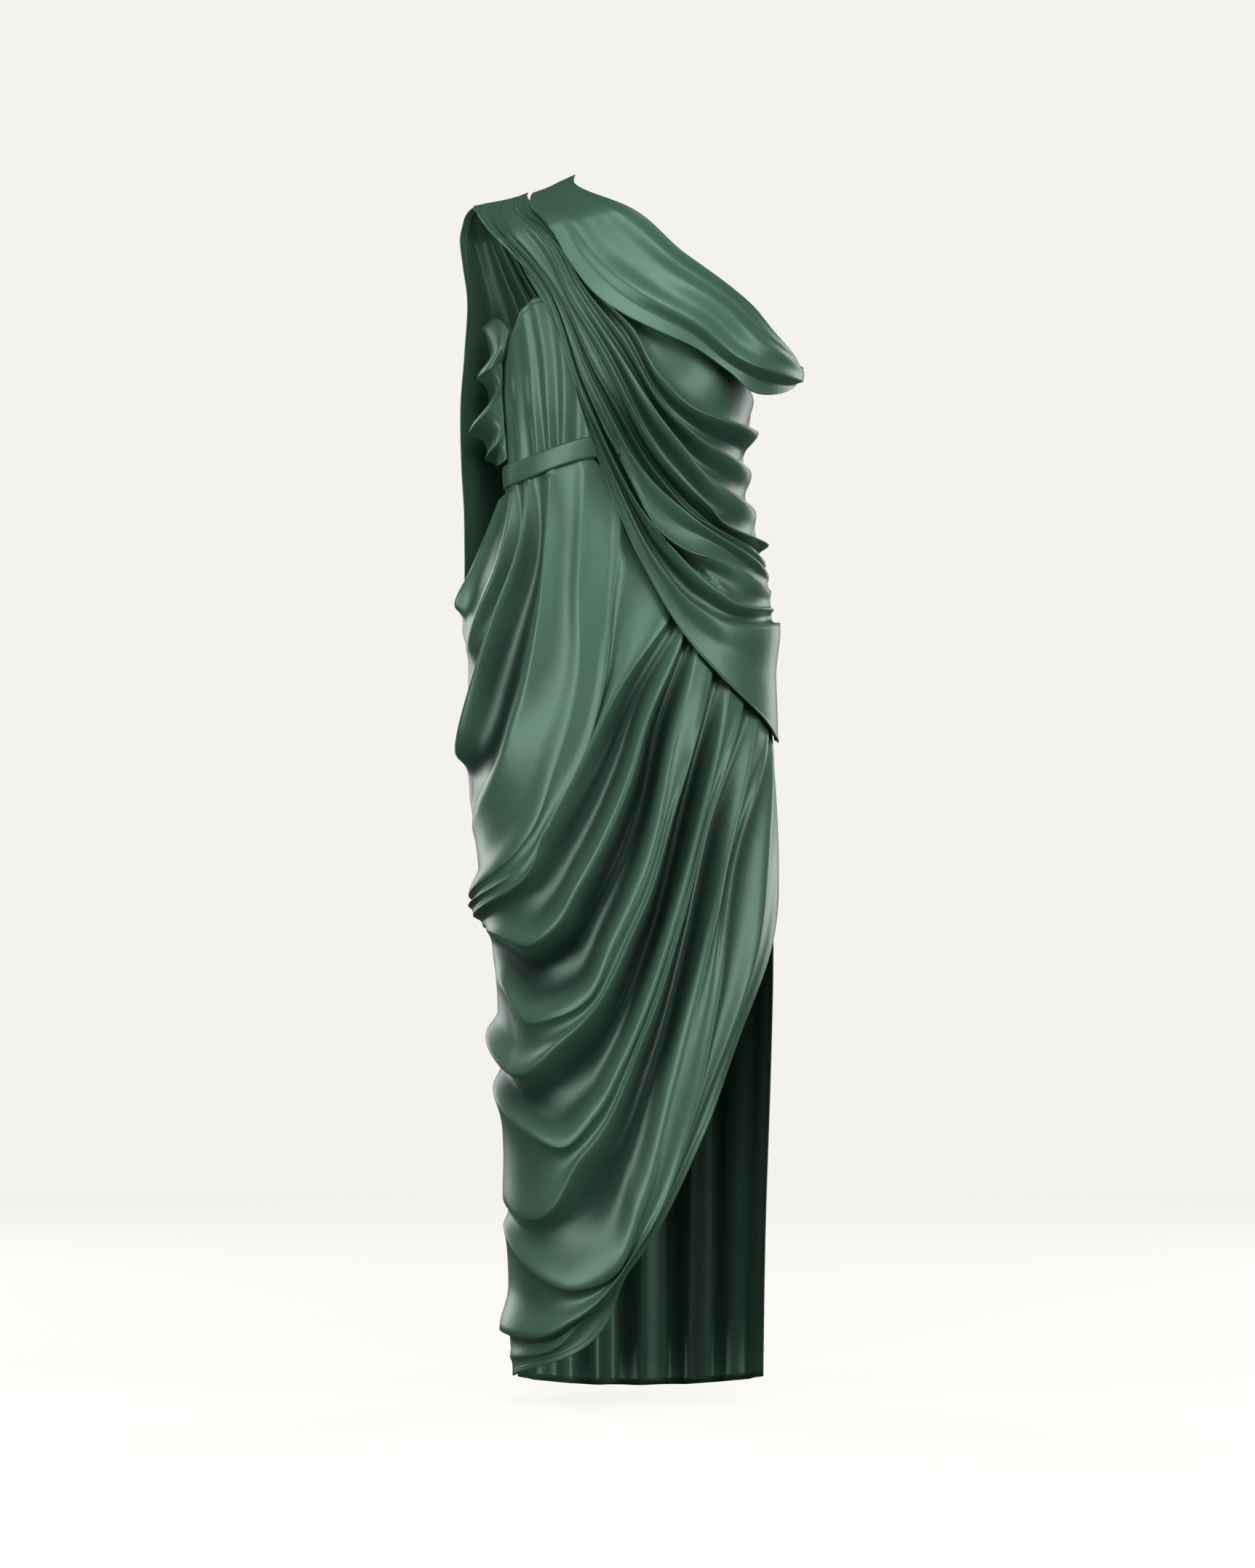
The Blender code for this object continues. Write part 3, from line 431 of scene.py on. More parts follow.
# %% The back drape
BACK_DRAPE = (
    # name, crest lifts, valley lifts, share of the fall, points of (x or degrees, drop)
    ("outer_edge",
     (0.010, 0.026, 0.048, 0.055, 0.054, 0.044), (0.008, 0.020, 0.034, 0.040, 0.040, 0.034), 0.5,
     ((-0.176, 0.035), (264.0, 0.100), (266.0, 0.200), (266.0, 0.330), (265.0, 0.420), (263.0, 0.490))),
    ("fold_1", (0.010, 0.022, 0.034, 0.042, 0.040, 0.040), (0.008, 0.018, 0.020, 0.024, 0.024, 0.024), 0.5,
     ((-0.164, 0.032), (248.0, 0.120), (242.0, 0.250), (240.0, 0.400), (238.0, 0.515))),
    ("fold_2", (0.010, 0.022, 0.028, 0.032, 0.032, 0.030), (0.008, 0.016, 0.018, 0.020, 0.020, 0.020), 0.5,
     ((-0.152, 0.030), (232.0, 0.120), (216.0, 0.260), (206.0, 0.420), (200.0, 0.560))),
    ("fold_3", (0.010, 0.022, 0.028, 0.032, 0.032, 0.028), (0.008, 0.016, 0.018, 0.018, 0.018, 0.018), 0.5,
     ((-0.143, 0.028), (224.0, 0.120), (198.0, 0.260), (176.0, 0.430), (160.0, 0.600))),
    ("hem_corner",
     (0.010, 0.022, 0.028, 0.032, 0.030, 0.026), (0.008, 0.016, 0.018, 0.018, 0.018, 0.018), 0.5,
     ((-0.139, 0.027), (221.0, 0.120), (193.0, 0.255), (168.0, 0.410), (146.0, 0.580), (130.0, 0.618))),
    ("fold_4", (0.010, 0.022, 0.028, 0.032, 0.030, 0.017), (0.008, 0.016, 0.018, 0.018, 0.018, 0.017), 0.5,
     ((-0.135, 0.026), (218.0, 0.120), (188.0, 0.250), (160.0, 0.390), (130.0, 0.560), (BACK_SEAM, 0.633))),
    ("fold_5", (0.010, 0.022, 0.028, 0.032, 0.030, 0.017), (0.008, 0.016, 0.018, 0.018, 0.018, 0.017), 0.5,
     ((-0.128, 0.024), (212.0, 0.120), (180.0, 0.230), (150.0, 0.340), (125.0, 0.430), (BACK_SEAM, 0.490))),
    ("fold_6", (0.010, 0.020, 0.026, 0.030, 0.028, 0.017), (0.008, 0.016, 0.018, 0.018, 0.018, 0.017), 0.5,
     ((-0.123, 0.022), (206.0, 0.115), (174.0, 0.205), (145.0, 0.285), (122.0, 0.345), (BACK_SEAM, 0.380))),
    ("top", (0.010, 0.018, 0.020, 0.020, 0.019, 0.017), (), 0.5,
     ((-0.1178, 0.020), (215.0, 0.046), (201.0, 0.086), (186.0, 0.122), (168.0, 0.150), (146.0, 0.182),
      (125.0, 0.220), (BACK_SEAM, 0.258))),
)
grid, depths = laid_panel(BACK_DRAPE, 150, 1.2, back=True, fall=5, rise=5, tuck=0.1)
points, way = on_form(grid, shoulder=1)
back_drape = cloth_sheet("back_drape_cloth", points, way, depths, hems=("first", "end"))
sewn_in(back_drape, "back_drape")

# %% [markdown]
# ## The fold-over band
# The band is a wide strip that is folded over at the neckline and goes round the other upper arm.
# It is cut double, so it is smoother and rounder than the rest, with one soft roll along it.

# %% The band in front and behind
COLLAR = (
    # name, crest lifts, valley lifts, share of the fall, points of (x, drop)
    ("lower_edge", (0.024, 0.032, 0.036, 0.040, 0.062), (0.024, 0.035, 0.041, 0.046, 0.066), 0.5,
     ((-0.1175, 0.0205), (-0.101, 0.059), (-0.075, 0.101), (-0.043, 0.140), (-0.007, 0.165), (0.035, 0.185),
      (0.077, 0.203), (0.116, 0.230), (0.145, 0.252), (0.180, 0.246), (0.192, 0.238))),
    ("lower_roll", (0.022, 0.036, 0.046, 0.052, 0.068), (0.016, 0.034, 0.042, 0.050, 0.068), 0.5,
     ((-0.103, 0.016), (-0.081, 0.049), (-0.040, 0.098), (0.013, 0.139), (0.083, 0.176), (0.144, 0.221),
      (0.195, 0.233))),
    ("upper_roll", (0.016, 0.032, 0.044, 0.052, 0.066), (0.014, 0.030, 0.040, 0.048, 0.062), 0.5,
     ((-0.084, 0.008), (-0.052, 0.041), (-0.007, 0.078), (0.050, 0.119), (0.112, 0.156), (0.162, 0.201),
      (0.194, 0.221))),
    ("neck_fold", (0.012, 0.024, 0.034, 0.042, 0.058), (), 0.5,
     ((-0.065, 0.000), (-0.003, 0.041), (0.071, 0.097), (0.144, 0.152), (0.180, 0.197), (0.190, 0.211))),
)
BACK_COLLAR_REACH = 0.12  # the x up to which the back of the band mirrors its front
COLLAR_CREASES = (
    # name, height, width, kind, fade at each end, points of (x, drop) in millimetres
    ("dart", -0.0006, 0.0015, "round", (0.1, 0.3), ((-46, 29), (-28, 63))),
)

grid, depths = laid_panel(COLLAR, 130, 1.2, seam=(FRONT_SEAM, None), fall=11, rise=11)
grid, depths = creased(grid, depths, COLLAR_CREASES, shoulder=-1)
points, way = on_form(grid, shoulder=-1)
collar_front = cloth_sheet("collar_front_cloth", points, way, depths, thickness=0.0016)
sewn_in(collar_front, "collar_front")

band_behind = []
for name, crest, valley, lap, line in COLLAR:
    behind = tuple(point for point in line if point[0] < BACK_COLLAR_REACH)
    band_behind.append((name, crest, valley, lap, behind + ((BACK_SEAM, line[-1][1]),)))
grid, depths = laid_panel(band_behind, 130, 1.2, back=True, fall=11, rise=11)
points, way = on_form(grid, shoulder=1)
collar_back = cloth_sheet("collar_back_cloth", points, way, depths, thickness=0.0016)
sewn_in(collar_back, "collar_back")

# %% [markdown]
# ## The waist tie and what it presses
# A narrow band of the same satin goes round the waist over the seam between bodice and skirt. It
# holds the gathers down, so the cloth on either side rises only as it leaves the tie.

# %% Where the tie runs
BELT_LINE = (
    # degrees round the form, drop
    (-101.0, 0.345),
    (-60.0, 0.337),
    (-20.0, 0.314),
    (20.0, 0.304),
    (101.0, 0.304),
    (140.0, 0.310),
    (180.0, 0.322),
    (220.0, 0.336),
    (259.0, 0.345),
)
BELT_WIDTH = 0.0245
BELT_LIFT = 0.0088
BELT_ENDS = -88.0  # degrees round the form at which the tie starts and ends, under the ruffle
UNDER_BELT = 0.0066  # the most that cloth under the tie stands off the form
PRESS_SLOPE = 1.2  # how fast pressed folds rise beside the tie
PRESS_MARGIN = 0.005  # how far beside the tie they start to rise
WAIST_GAP = 0.0012  # between bodice and skirt, under the tie


def belt_drop(degrees):
    return column_of(BELT_LINE, 1, degrees)


def pressed_by_belt(grid):
    """The same grid with its lift held down where the tie passes over it."""
    beside = np.abs(grid[..., 1] - belt_drop(np.degrees(grid[..., 0]))) - BELT_WIDTH / 2 - PRESS_MARGIN
    grid[..., 2] = np.minimum(grid[..., 2], UNDER_BELT + PRESS_SLOPE * np.maximum(beside, 0.0))
    return grid


def to_waist(grid, side):
    """The grid with its first points (side 1) or its last (side -1) drawn to the waist seam."""
    end = grid[:, 0] if side > 0 else grid[:, -1]
    drop = belt_drop(np.degrees(end[:, 0]))
    at_waist = np.abs(end[:, 1] - drop) < BELT_WIDTH / 2
    end[:, 1] = np.where(at_waist, drop + side * WAIST_GAP / 2, end[:, 1])
    return pressed_by_belt(grid)


# %% The tie
TIE_CROWN = 0.0007  # how much lower the tie's edges lie than its middle
degrees = np.linspace(BELT_ENDS, BELT_ENDS + 360.0 - 2 * GAP_TURN, 200)
read_at = np.where(degrees > BELT_LINE[-1][0], degrees - 360.0, degrees)
rows = []
for side in np.linspace(-0.5, 0.5, 9):
    drops = belt_drop(read_at) + side * BELT_WIDTH
    lifts = np.full_like(drops, BELT_LIFT - TIE_CROWN * (2.0 * side) ** 4)
    rows.append(np.stack([np.radians(degrees), drops, lifts], axis=1))
points, way = on_form(np.array(rows))
waist_tie = cloth_sheet("waist_tie_cloth", points, way, np.zeros(points.shape[:2]))
sewn_in(waist_tie, "waist_tie")

# %% [markdown]
# ## The bodice
# Under the drape there is a fitted bodice. Its front is gathered beside the open armhole, and a
# line of stitches runs beside its top edge. Its back is plain.

# %% The bodice, front and back
BODICE_FRONT = (
    # name, crest lifts, valley lifts, share of the fall, points of (x or degrees, drop)
    ("left_seam", (0.004, 0.005), (0.003, 0.003), 0.5, ((-FRONT_SEAM, 0.240), (-FRONT_SEAM, 0.345))),
    ("gather_1", (0.004, 0.006), (0.003, 0.002), 0.5, ((-0.142, 0.215), (-0.135, 0.300), (-0.134, 0.340))),
    ("gather_2", (0.004, 0.006), (0.003, 0.001), 0.5, ((-0.134, 0.191), (-0.127, 0.262), (-0.122, 0.336))),
    ("gather_3", (0.004, 0.006), (0.003, 0.001), 0.5, ((-0.121, 0.156), (-0.108, 0.262), (-0.102, 0.330))),
    ("gather_4", (0.004, 0.006), (0.003, 0.001), 0.5, ((-0.108, 0.144), (-0.095, 0.213), (-0.088, 0.325))),
    ("gather_5", (0.004, 0.006), (0.003, 0.002), 0.5, ((-0.085, 0.138), (-0.072, 0.246), (-0.074, 0.320))),
    ("gather_6", (0.004, 0.006), (0.004, 0.004), 0.5, ((-0.050, 0.138), (-0.045, 0.250), (-0.045, 0.315))),
    ("chest_middle", (0.004, 0.005), (0.004, 0.004), 0.5, ((0.020, 0.142), (0.020, 0.305))),
    ("chest_side", (0.004, 0.005), (0.004, 0.004), 0.5, ((0.085, 0.165), (0.080, 0.305))),
    ("right_seam", (0.004, 0.005), (), 0.5, ((FRONT_SEAM, 0.238), (FRONT_SEAM, 0.304))),
)
BODICE_BACK = (
    ("right_seam", (0.004, 0.005), (0.004, 0.004), 0.5, ((BACK_SEAM, 0.238), (BACK_SEAM, 0.304))),
    ("right_back", (0.004, 0.005), (0.004, 0.004), 0.5, ((135.0, 0.215), (135.0, 0.310))),
    ("middle", (0.004, 0.005), (0.004, 0.004), 0.5, ((180.0, 0.205), (180.0, 0.322))),
    ("left_back", (0.004, 0.005), (0.004, 0.004), 0.5, ((225.0, 0.215), (225.0, 0.337))),
    ("left_seam", (0.004, 0.005), (), 0.5, ((360.0 - BACK_SEAM, 0.240), (360.0 - BACK_SEAM, 0.345))),
)
grid, depths = laid_panel(BODICE_FRONT, 90, fall=7, rise=7, wide=1.2)
points, way = on_form(to_waist(grid, -1))
bodice_front = cloth_sheet("bodice_front_cloth", points, way, depths, hems=("start",))
sewn_in(bodice_front, "bodice_front")

grid, depths = laid_panel(BODICE_BACK, 60, fall=7, rise=7)
points, way = on_form(to_waist(grid, -1))
bodice_back = cloth_sheet("bodice_back_cloth", points, way, depths, hems=("start",))
sewn_in(bodice_back, "bodice_back")

# %% [markdown]
# ## The side ruffle
# A small ruffle stands out at the side of the bodice, beside the armhole. It is a strip gathered
# along the seam, and its free edge swings out in three points.

# %% The side ruffle
SIDE_FLOUNCE = (
    # name, crest lifts, valley lifts, share of the fall, points of (x, drop)
    ("top", (0.0078, 0.014, 0.020), (0.0078, 0.012, 0.014), 0.5,
     ((-0.134, 0.180), (-0.150, 0.166), (-0.162, 0.172))),
    ("tip_1", (0.0078, 0.022, 0.032), (0.0078, 0.012, 0.016), 0.4,
     ((-0.142, 0.214), (-0.159, 0.223), (-0.171, 0.231))),
    ("tip_2", (0.0078, 0.028, 0.043), (0.0078, 0.016, 0.022), 0.5,
     ((-0.142, 0.250), (-0.163, 0.273), (-0.180, 0.294))),
    ("tip_3", (0.0078, 0.018, 0.027), (0.0078, 0.012, 0.014), 0.5,
     ((-0.139, 0.292), (-0.152, 0.310), (-0.161, 0.320))),
    ("knot_end", (0.0078, 0.011, 0.014), (), 0.5, ((-0.137, 0.322), (-0.143, 0.327), (-0.148, 0.329))),
)
FLOUNCE_SEAM_LIFT = 0.009
grid, depths = laid_panel(SIDE_FLOUNCE, 50, seam=(-SIDE_TURN, lambda drop: FLOUNCE_SEAM_LIFT),
                          fall=12, rise=12, tuck=0.3)
points, way = on_form(grid)
side_flounce = cloth_sheet("side_flounce_cloth", points, way, depths, hems=("end",))
sewn_in(side_flounce, "side_flounce")

# %% [markdown]
# ## The skirt front
# The front is one wide panel, gathered into the waist on one side and into the edge under the
# sash on the other. From there its folds sweep down to the left side seam, where they are caught
# up in slings. Its last row is the free edge that leaves the slit open.

# %% The skirt front
SKIRT_SEAM_LIFT = (
    # drop, left seam, right edge of the back
    (0.300, 0.006, 0.006),
    (0.360, 0.006, 0.006),
    (0.420, 0.018, 0.007),
    (0.500, 0.032, 0.008),
    (0.600, 0.034, 0.010),
    (0.700, 0.030, 0.013),
    (0.800, 0.020, 0.016),
    (0.900, 0.011, 0.016),
    (1.200, 0.008, 0.015),
    (1.400, 0.007, 0.016),
)
SKIRT_FRONT = (
    # name, crest lifts, valley lifts, share of the fall, points of (x or degrees, drop)
    ("hip_edge", (0.006, 0.024, 0.040, 0.052), (0.004, 0.014, 0.026, 0.040), 0.45,
     ((-0.143, 0.345), (-0.165, 0.395), (-0.184, 0.443), (-0.198, 0.488))),
    ("hip_fold_1", (0.006, 0.022, 0.034, 0.036), (0.002, 0.008, 0.018, 0.024), 0.45,
     ((-0.130, 0.343), (-0.141, 0.414), (-0.161, 0.472), (-0.183, 0.531))),
    ("hip_fold_2", (0.006, 0.024, 0.034, 0.038, 0.044), (0.002, 0.004, 0.008, 0.008, 0.024), 0.45,
     ((-0.115, 0.338), (-0.125, 0.418), (-0.151, 0.488), (-0.175, 0.562), (-0.194, 0.656))),
    ("hip_fold_3", (0.006, 0.024, 0.030, 0.030, 0.030), (0.003, 0.016, 0.022, 0.026, 0.026), 0.5,
     ((-0.089, 0.330), (-0.095, 0.414), (-0.105, 0.508), (-0.131, 0.615), (-0.164, 0.701),
      (-0.180, 0.738))),
    ("sling_top", (0.006, 0.022, 0.028, 0.032, 0.038), (0.004, 0.018, 0.025, 0.030, 0.034), 0.5,
     ((-0.048, 0.316), (-0.055, 0.459), (-0.056, 0.570), (-0.085, 0.671), (-0.116, 0.746), (-0.155, 0.787),
      (-0.182, 0.816))),
    ("middle_crease", (0.008, 0.022, 0.028, 0.032, 0.038), (0.005, 0.016, 0.025, 0.032, 0.036), 0.4,
     ((-0.006, 0.360), (-0.018, 0.476), (-0.027, 0.574), (-0.056, 0.672), (-0.092, 0.734), (-0.134, 0.791),
      (-0.183, 0.827))),
    ("ridge_1", (0.010, 0.028, 0.034, 0.036, 0.034), (0.006, 0.008, 0.012, 0.018, 0.026), 0.45,
     ((0.054, 0.490), (0.002, 0.562), (-0.061, 0.674), (-0.095, 0.738), (-0.134, 0.805), (-0.175, 0.838))),
    ("ridge_2", (0.010, 0.034, 0.038, 0.038, 0.030), (0.004, 0.006, 0.006, 0.006, 0.006), 0.4,
     ((0.068, 0.505), (0.023, 0.615), (0.003, 0.681), (-0.057, 0.802), (-0.088, 0.849), (-0.116, 0.866),
      (-0.148, 0.855))),
    ("sling_2_rim",
     (0.010, 0.032, 0.034, 0.032, 0.030, 0.020), (0.010, 0.031, 0.033, 0.030, 0.026, 0.014), 0.5,
     ((0.082, 0.518), (0.062, 0.615), (0.014, 0.804), (-0.018, 0.869), (-0.051, 0.930), (-0.084, 0.946),
      (-0.115, 0.952), (-0.143, 0.913))),
    ("ridge_3",
     (0.010, 0.036, 0.038, 0.036, 0.032, 0.026), (0.004, 0.004, 0.005, 0.006, 0.008, 0.008), 0.45,
     ((0.098, 0.538), (0.057, 0.705), (0.013, 0.836), (-0.071, 0.968), (-0.134, 1.010), (-0.166, 0.965))),
    ("sling_3_rim",
     (0.010, 0.032, 0.034, 0.030, 0.028, 0.020), (0.010, 0.030, 0.033, 0.028, 0.022, 0.012), 0.5,
     ((0.116, 0.560), (0.099, 0.672), (0.058, 0.828), (-0.007, 1.000), (-0.038, 1.056), (-0.077, 1.090),
      (-0.110, 1.076), (-0.153, 1.025))),
    ("ridge_4",
     (0.009, 0.036, 0.038, 0.034, 0.026, 0.014), (0.004, 0.005, 0.006, 0.006, 0.006, 0.008), 0.4,
     ((0.132, 0.575), (0.099, 0.705), (0.063, 0.836), (0.017, 0.968), (-0.051, 1.099), (-0.126, 1.170),
      (-0.143, 1.150))),
    ("sling_4_rim",
     (0.0088, 0.028, 0.032, 0.030, 0.028, 0.016), (0.010, 0.026, 0.030, 0.028, 0.022, 0.010), 0.5,
     ((0.148, 0.588), (0.120, 0.746), (0.101, 0.836), (0.050, 1.033), (0.014, 1.164), (-0.020, 1.235),
      (-0.069, 1.248), (-0.116, 1.223), (-0.141, 1.185))),
    ("ridge_5",
     (0.0088, 0.034, 0.038, 0.034, 0.028, 0.022), (0.006, 0.018, 0.026, 0.026, 0.020, 0.010), 0.4,
     ((0.157, 0.600), (0.130, 0.738), (0.101, 0.935), (0.072, 1.066), (0.019, 1.190), (-0.064, 1.285),
      (-0.103, 1.304), (-0.148, 1.300))),
    ("edge_band",
     (0.0088, 0.028, 0.030, 0.026, 0.020, 0.012), (0.010, 0.020, 0.022, 0.018, 0.014, 0.010), 0.5,
     ((0.165, 0.612), (0.162, 0.705), (0.147, 0.869), (0.091, 1.025), (0.030, 1.164), (-0.048, 1.276),
      (-0.098, 1.322), (-0.139, 1.333))),
    ("free_edge", (0.008, 0.018, 0.020, 0.018, 0.014, 0.010), (), 0.5,
     ((97.0, 0.618), (98.0, 0.720), (0.168, 0.828), (0.131, 0.954), (0.084, 1.080), (0.004, 1.224),
      (-0.088, 1.333), (-0.131, 1.354))),
)
SKIRT_CREASES = (
    # name, height, width, kind, fade at each end, points of (x, drop) in millimetres
    ("middle", -0.002, 0.006, "round", (0.3, 0.3), ((-20, 375), (-22, 445), (-25, 511), (-29, 550))),
)


def left_skirt_seam(drop):
    return column_of(SKIRT_SEAM_LIFT, 1, drop)


grid, depths = laid_panel(SKIRT_FRONT, 210, 1.15, seam=(-FRONT_SEAM, left_skirt_seam),
                          fall=7, rise=7, crisp=1.2, wide=1.5, tuck=0.15)
grid, depths = creased(grid, depths, SKIRT_CREASES)
points, way = on_form(to_waist(grid, 1))
skirt_front = cloth_sheet("skirt_front_cloth", points, way, depths, hems=("last",))
sewn_in(skirt_front, "skirt_front")

# %% [markdown]
# ## The skirt back
# The back is a plain panel that hangs from the waist to the hem in soft flutes. Its inside shows
# through the slit, dark, with a stitched hem.

# %% The skirt back
SKIRT_BACK = (
    # degrees round the form, crest lifts, valley lifts, drop of the hem
    (BACK_SEAM, None, None, 1.357),
    (120.0, (0.006, 0.008, 0.013, 0.018, 0.018), (0.003, 0.006, 0.008, 0.006, 0.006), 1.364),
    (142.0, (0.006, 0.011, 0.018, 0.020, 0.020), (0.003, 0.006, 0.008, 0.004, 0.004), 1.371),
    (163.0, (0.006, 0.011, 0.016, 0.018, 0.018), (0.003, 0.006, 0.008, 0.006, 0.006), 1.375),
    (186.0, (0.006, 0.012, 0.018, 0.020, 0.020), (0.003, 0.006, 0.008, 0.004, 0.004), 1.376),
    (209.0, (0.006, 0.011, 0.016, 0.018, 0.018), (0.003, 0.006, 0.008, 0.006, 0.006), 1.373),
    (232.0, (0.006, 0.014, 0.020, 0.018, 0.016), (0.003, 0.010, 0.012, 0.008, 0.006), 1.366),
    (360.0 - BACK_SEAM, None, None, 1.357),
)
SEAM_DIP = 0.004
t = np.linspace(0.0, 1.0, 150) ** 1.1
lines = []
for degrees, crest, valley, hem in SKIRT_BACK:
    top = belt_drop(degrees) + WAIST_GAP / 2
    drops = top + (hem - top) * t
    lift = spread(crest, t) if crest else column_of(SKIRT_SEAM_LIFT, 2 if degrees < 180 else 1, drops)
    low = spread(valley, t) if valley else lift - SEAM_DIP * ease(4 * t)
    lines.append((np.stack([np.full_like(t, math.radians(degrees)), drops, lift], axis=1), low))
rows, depths = [], []
for (line, low), (following, _) in zip(lines, lines[1:]):
    for u in np.linspace(0.0, 1.0, 14, endpoint=False):
        row = line + (following - line) * u
        crests = row[:, 2].copy()
        row[:, 2] -= math.sin(math.pi * u) ** 2 * np.maximum(row[:, 2] - low, 0.0)
        rows.append(row)
        depths.append(crests - row[:, 2])
rows.append(lines[-1][0])
depths.append(np.zeros_like(t))
points, way = on_form(pressed_by_belt(np.array(rows)))
skirt_back = cloth_sheet("skirt_back_cloth", points, way, np.array(depths), hems=("first", "end"))
sewn_in(skirt_back, "skirt_back")

# %% [markdown]
# ## The finish
# Satin shows long floating threads on its face, so it shines in broad soft bands along each fold
# and goes nearly black in the hollows. The shader is one Principled surface. Its colour is painted
# from a mid green to a near black with the depth of the fold, a painted shade in the hollows, and a
# line of stitches sinks in beside a hem. The weave follows the UV map of each sheet, far too fine to see
# from a step away.

# %% The satin
SATIN_FACE = (0.046, 0.105, 0.072, 1.0)
# Painted shade: the near black that the colour is mixed to in the deepest folds.
SATIN_PAINTED_SHADE = (0.006, 0.016, 0.012, 1.0)
PAINTED_SHADE_DEPTH = 0.026  # the depth in metres at which the painted shade is full
HEM_WIDTH = 0.0065
STITCH_WIDTH = 0.0007


def satin():
    material = bpy.data.materials.new("green_satin")
    material.use_nodes = True
    nodes, links = material.node_tree.nodes, material.node_tree.links
    shader = nodes["Principled BSDF"]
    shader.inputs["Roughness"].default_value = 0.40
    shader.inputs["IOR"].default_value = 1.62
    shader.inputs["Sheen Weight"].default_value = 0.12
    shader.inputs["Sheen Roughness"].default_value = 0.35
    shader.inputs["Sheen Tint"].default_value = (0.55, 0.85, 0.68, 1.0)
    shader.inputs["Specular Tint"].default_value = (0.62, 0.95, 0.76, 1.0)

    # Painted shade: the depth of the fold darkens the colour, up to its full value.
    painted_shade_depth = nodes.new("ShaderNodeAttribute")
    painted_shade_depth.attribute_name = "painted_shade_depth"
    depth = nodes.new("ShaderNodeMapRange")
    depth.interpolation_type = "SMOOTHSTEP"
    depth.inputs["From Max"].default_value = PAINTED_SHADE_DEPTH
    links.new(painted_shade_depth.outputs["Fac"], depth.inputs["Value"])

    place = nodes.new("ShaderNodeTexCoord")
    cloudy = nodes.new("ShaderNodeTexNoise")
    cloudy.inputs["Scale"].default_value = 9.0
    cloudy.inputs["Detail"].default_value = 3.0
    links.new(place.outputs["Object"], cloudy.inputs["Vector"])
    shade = nodes.new("ShaderNodeMapRange")
    shade.inputs["To Min"].default_value = 0.90
    shade.inputs["To Max"].default_value = 1.08
    links.new(cloudy.outputs["Fac"], shade.inputs["Value"])

    # The green mixed towards the painted shade by the depth of the fold.
    colour = nodes.new("ShaderNodeMix")
    colour.data_type = "RGBA"
    colour.inputs["A"].default_value = SATIN_FACE
    colour.inputs["B"].default_value = SATIN_PAINTED_SHADE
    links.new(depth.outputs["Result"], colour.inputs["Factor"])
    uneven = nodes.new("ShaderNodeVectorMath")
    uneven.operation = "SCALE"
    links.new(colour.outputs["Result"], uneven.inputs["Vector"])
    links.new(shade.outputs["Result"], uneven.inputs["Scale"])
    links.new(uneven.outputs["Vector"], shader.inputs["Base Color"])

    hem = nodes.new("ShaderNodeAttribute")
    hem.attribute_name = "hem_distance"
    off_line = nodes.new("ShaderNodeMath")
    off_line.operation = "SUBTRACT"
    off_line.inputs[1].default_value = HEM_WIDTH
    links.new(hem.outputs["Fac"], off_line.inputs[0])
    apart = nodes.new("ShaderNodeMath")
    apart.operation = "ABSOLUTE"
    links.new(off_line.outputs["Value"], apart.inputs[0])
    stitch = nodes.new("ShaderNodeMapRange")
    stitch.interpolation_type = "SMOOTHSTEP"
    stitch.inputs["From Max"].default_value = STITCH_WIDTH
    links.new(apart.outputs["Value"], stitch.inputs["Value"])

    cloth = nodes.new("ShaderNodeUVMap")
    cloth.uv_map = "weave"
    threads = nodes.new("ShaderNodeTexWave")
    threads.bands_direction = "DIAGONAL"
    threads.inputs["Scale"].default_value = 450.0
    threads.inputs["Distortion"].default_value = 1.5
    links.new(cloth.outputs["UV"], threads.inputs["Vector"])
    puckers = nodes.new("ShaderNodeTexNoise")
    puckers.inputs["Scale"].default_value = 42.0
    puckers.inputs["Detail"].default_value = 2.0
    links.new(place.outputs["Object"], puckers.inputs["Vector"])

    weave_bump = nodes.new("ShaderNodeBump")
    weave_bump.inputs["Strength"].default_value = 0.06
    weave_bump.inputs["Distance"].default_value = 0.0002
    links.new(threads.outputs["Fac"], weave_bump.inputs["Height"])
    pucker_bump = nodes.new("ShaderNodeBump")
    pucker_bump.inputs["Strength"].default_value = 0.35
    pucker_bump.inputs["Distance"].default_value = 0.0012
    links.new(puckers.outputs["Fac"], pucker_bump.inputs["Height"])
    links.new(weave_bump.outputs["Normal"], pucker_bump.inputs["Normal"])
    stitch_bump = nodes.new("ShaderNodeBump")
    stitch_bump.inputs["Strength"].default_value = 0.8
    stitch_bump.inputs["Distance"].default_value = 0.0008
    links.new(stitch.outputs["Result"], stitch_bump.inputs["Height"])
    links.new(pucker_bump.outputs["Normal"], stitch_bump.inputs["Normal"])
    links.new(stitch_bump.outputs["Normal"], shader.inputs["Normal"])
    return material


green_satin = satin()
for piece in satin_pieces:
    piece.data.materials.append(green_satin)
print("satin on", len(satin_pieces), "sheets")

# %% [markdown]
# ## The studio
# The picture was taken straight on, from far off, on a pale ground. Two tall soft boxes stand at
# the sides, so that each ridge catches a band of light on either flank and the troughs stay dark.
# A wide one hangs above and in front, a weak one fills from the front, and two stand behind.
# The pale ground doesn't light the dress.

# %% Ground, lights and camera
PALE = (0.905, 0.888, 0.863)
PIXEL = 0.00082  # metres of dress in a pixel of the picture
FRAME_HEIGHT_PX = 2156
AXIS_PX, NECK_PX = 864, 240  # where the picture shows the middle of the body and the neck point
AIM_PX = (862.5, 1078)  # the middle of the picture
CAMERA_DISTANCE = 8.0
FLOOR_DROP = 0.006  # the ground lies this far below the hem
FLOOR_SIZE = 4.0  # half of its side

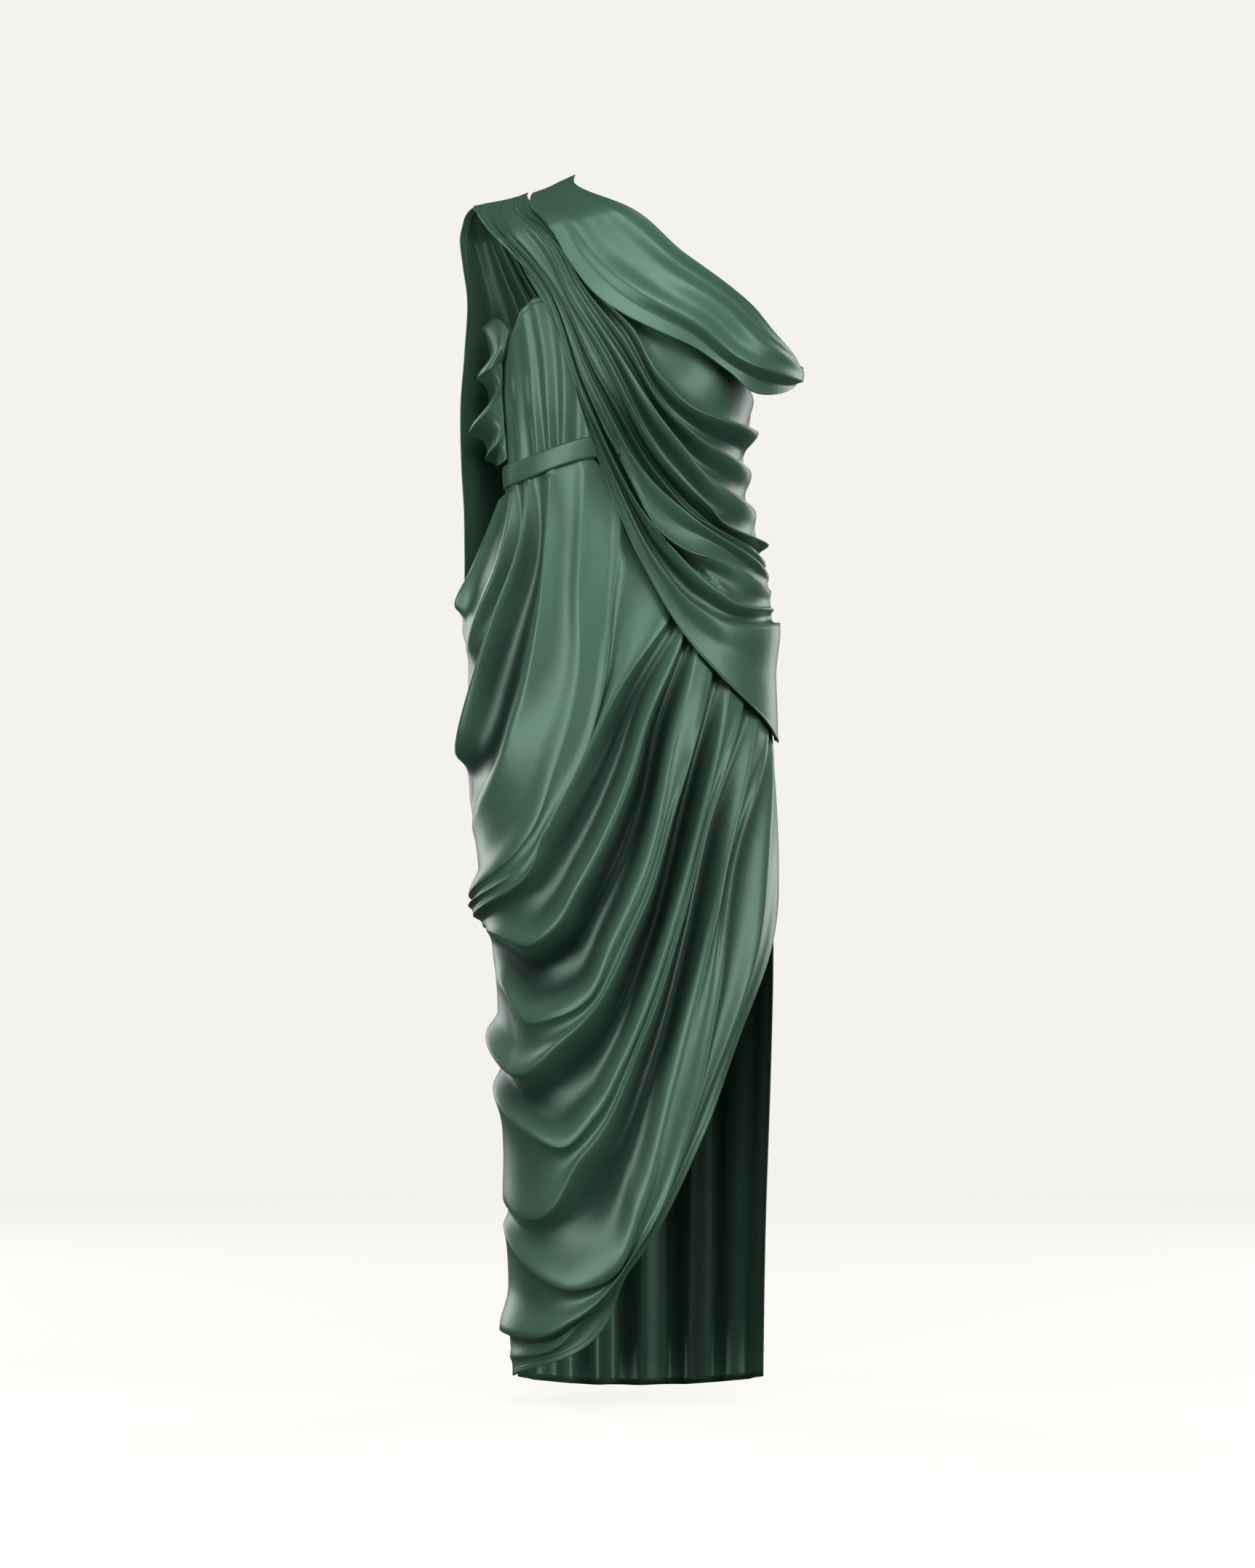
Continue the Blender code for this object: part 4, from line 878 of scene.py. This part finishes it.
low, high = np.array(cad_box[0]), np.array(cad_box[1])
ground = bmesh.new()
bmesh.ops.create_grid(ground, x_segments=1, y_segments=1, size=FLOOR_SIZE)
bmesh.ops.translate(ground, verts=ground.verts[:], vec=(0.0, 0.0, low[2] - FLOOR_DROP))
ground_data = bpy.data.meshes.new("ground")
ground.to_mesh(ground_data)
ground.free()
ground_piece = bpy.data.objects.new("ground", ground_data)
bpy.context.scene.collection.objects.link(ground_piece)
paper = bpy.data.materials.new("pale_paper")
paper.use_nodes = True
paper_shader = paper.node_tree.nodes["Principled BSDF"]
paper_shader.inputs["Base Color"].default_value = (0.10, 0.10, 0.10, 1.0)
paper_shader.inputs["Roughness"].default_value = 0.9
paper_shader.inputs["Emission Color"].default_value = (*PALE, 1.0)
paper_shader.inputs["Emission Strength"].default_value = 0.97
ground_data.materials.append(paper)
ground_piece.visible_diffuse = False
ground_piece.visible_glossy = False

world = bpy.data.worlds.new("studio")
world.use_nodes = True
world.node_tree.nodes["Background"].inputs["Color"].default_value = (*PALE, 1.0)
bpy.context.scene.world = world
world.cycles_visibility.diffuse = False
world.cycles_visibility.glossy = False

LIGHTS = (
    # name, place, size across, size up, power in watts
    ("left_box", (-2.3, -1.7, 0.2), 1.0, 2.6, 60.0),
    ("right_box", (2.5, -1.7, 0.2), 1.0, 2.6, 60.0),
    ("top_box", (0.1, -2.2, 2.4), 2.4, 1.4, 70.0),
    ("front_fill", (0.1, -5.5, 0.3), 4.0, 3.0, 25.0),
    ("back_left", (-2.0, 2.4, 0.6), 1.4, 2.4, 40.0),
    ("back_right", (2.2, 2.4, 0.6), 1.4, 2.4, 40.0),
)
middle = (low + high) / 2
for name, place, wide, tall, watts in LIGHTS:
    lamp = bpy.data.lights.new(name, "AREA")
    lamp.shape = "RECTANGLE"
    lamp.size, lamp.size_y = wide, tall
    lamp.energy = watts
    holder = bpy.data.objects.new(name, lamp)
    stands_at = mathutils.Vector(np.array(place) + middle)
    holder.location = stands_at
    towards = mathutils.Vector(middle) - stands_at
    holder.rotation_euler = towards.to_track_quat("-Z", "Y").to_euler()
    bpy.context.scene.collection.objects.link(holder)

view = bpy.data.cameras.new("view")
view.sensor_fit = "VERTICAL"
view.sensor_height = 36.0
view.lens = view.sensor_height * CAMERA_DISTANCE / (FRAME_HEIGHT_PX * PIXEL)
camera = bpy.data.objects.new("view", view)
aim_x = (AIM_PX[0] - AXIS_PX) * PIXEL - SHOULDER_POINT[0]
aim_z = -(AIM_PX[1] - NECK_PX) * PIXEL - SHOULDER_POINT[2]
camera.location = (aim_x, -CAMERA_DISTANCE, aim_z)
camera.rotation_euler = (math.pi / 2, 0.0, 0.0)
bpy.context.scene.collection.objects.link(camera)
bpy.context.scene.camera = camera
bpy.context.scene.view_settings.view_transform = "Standard"
print("camera at", [round(value, 3) for value in camera.location], "lens", round(view.lens, 1), "mm")
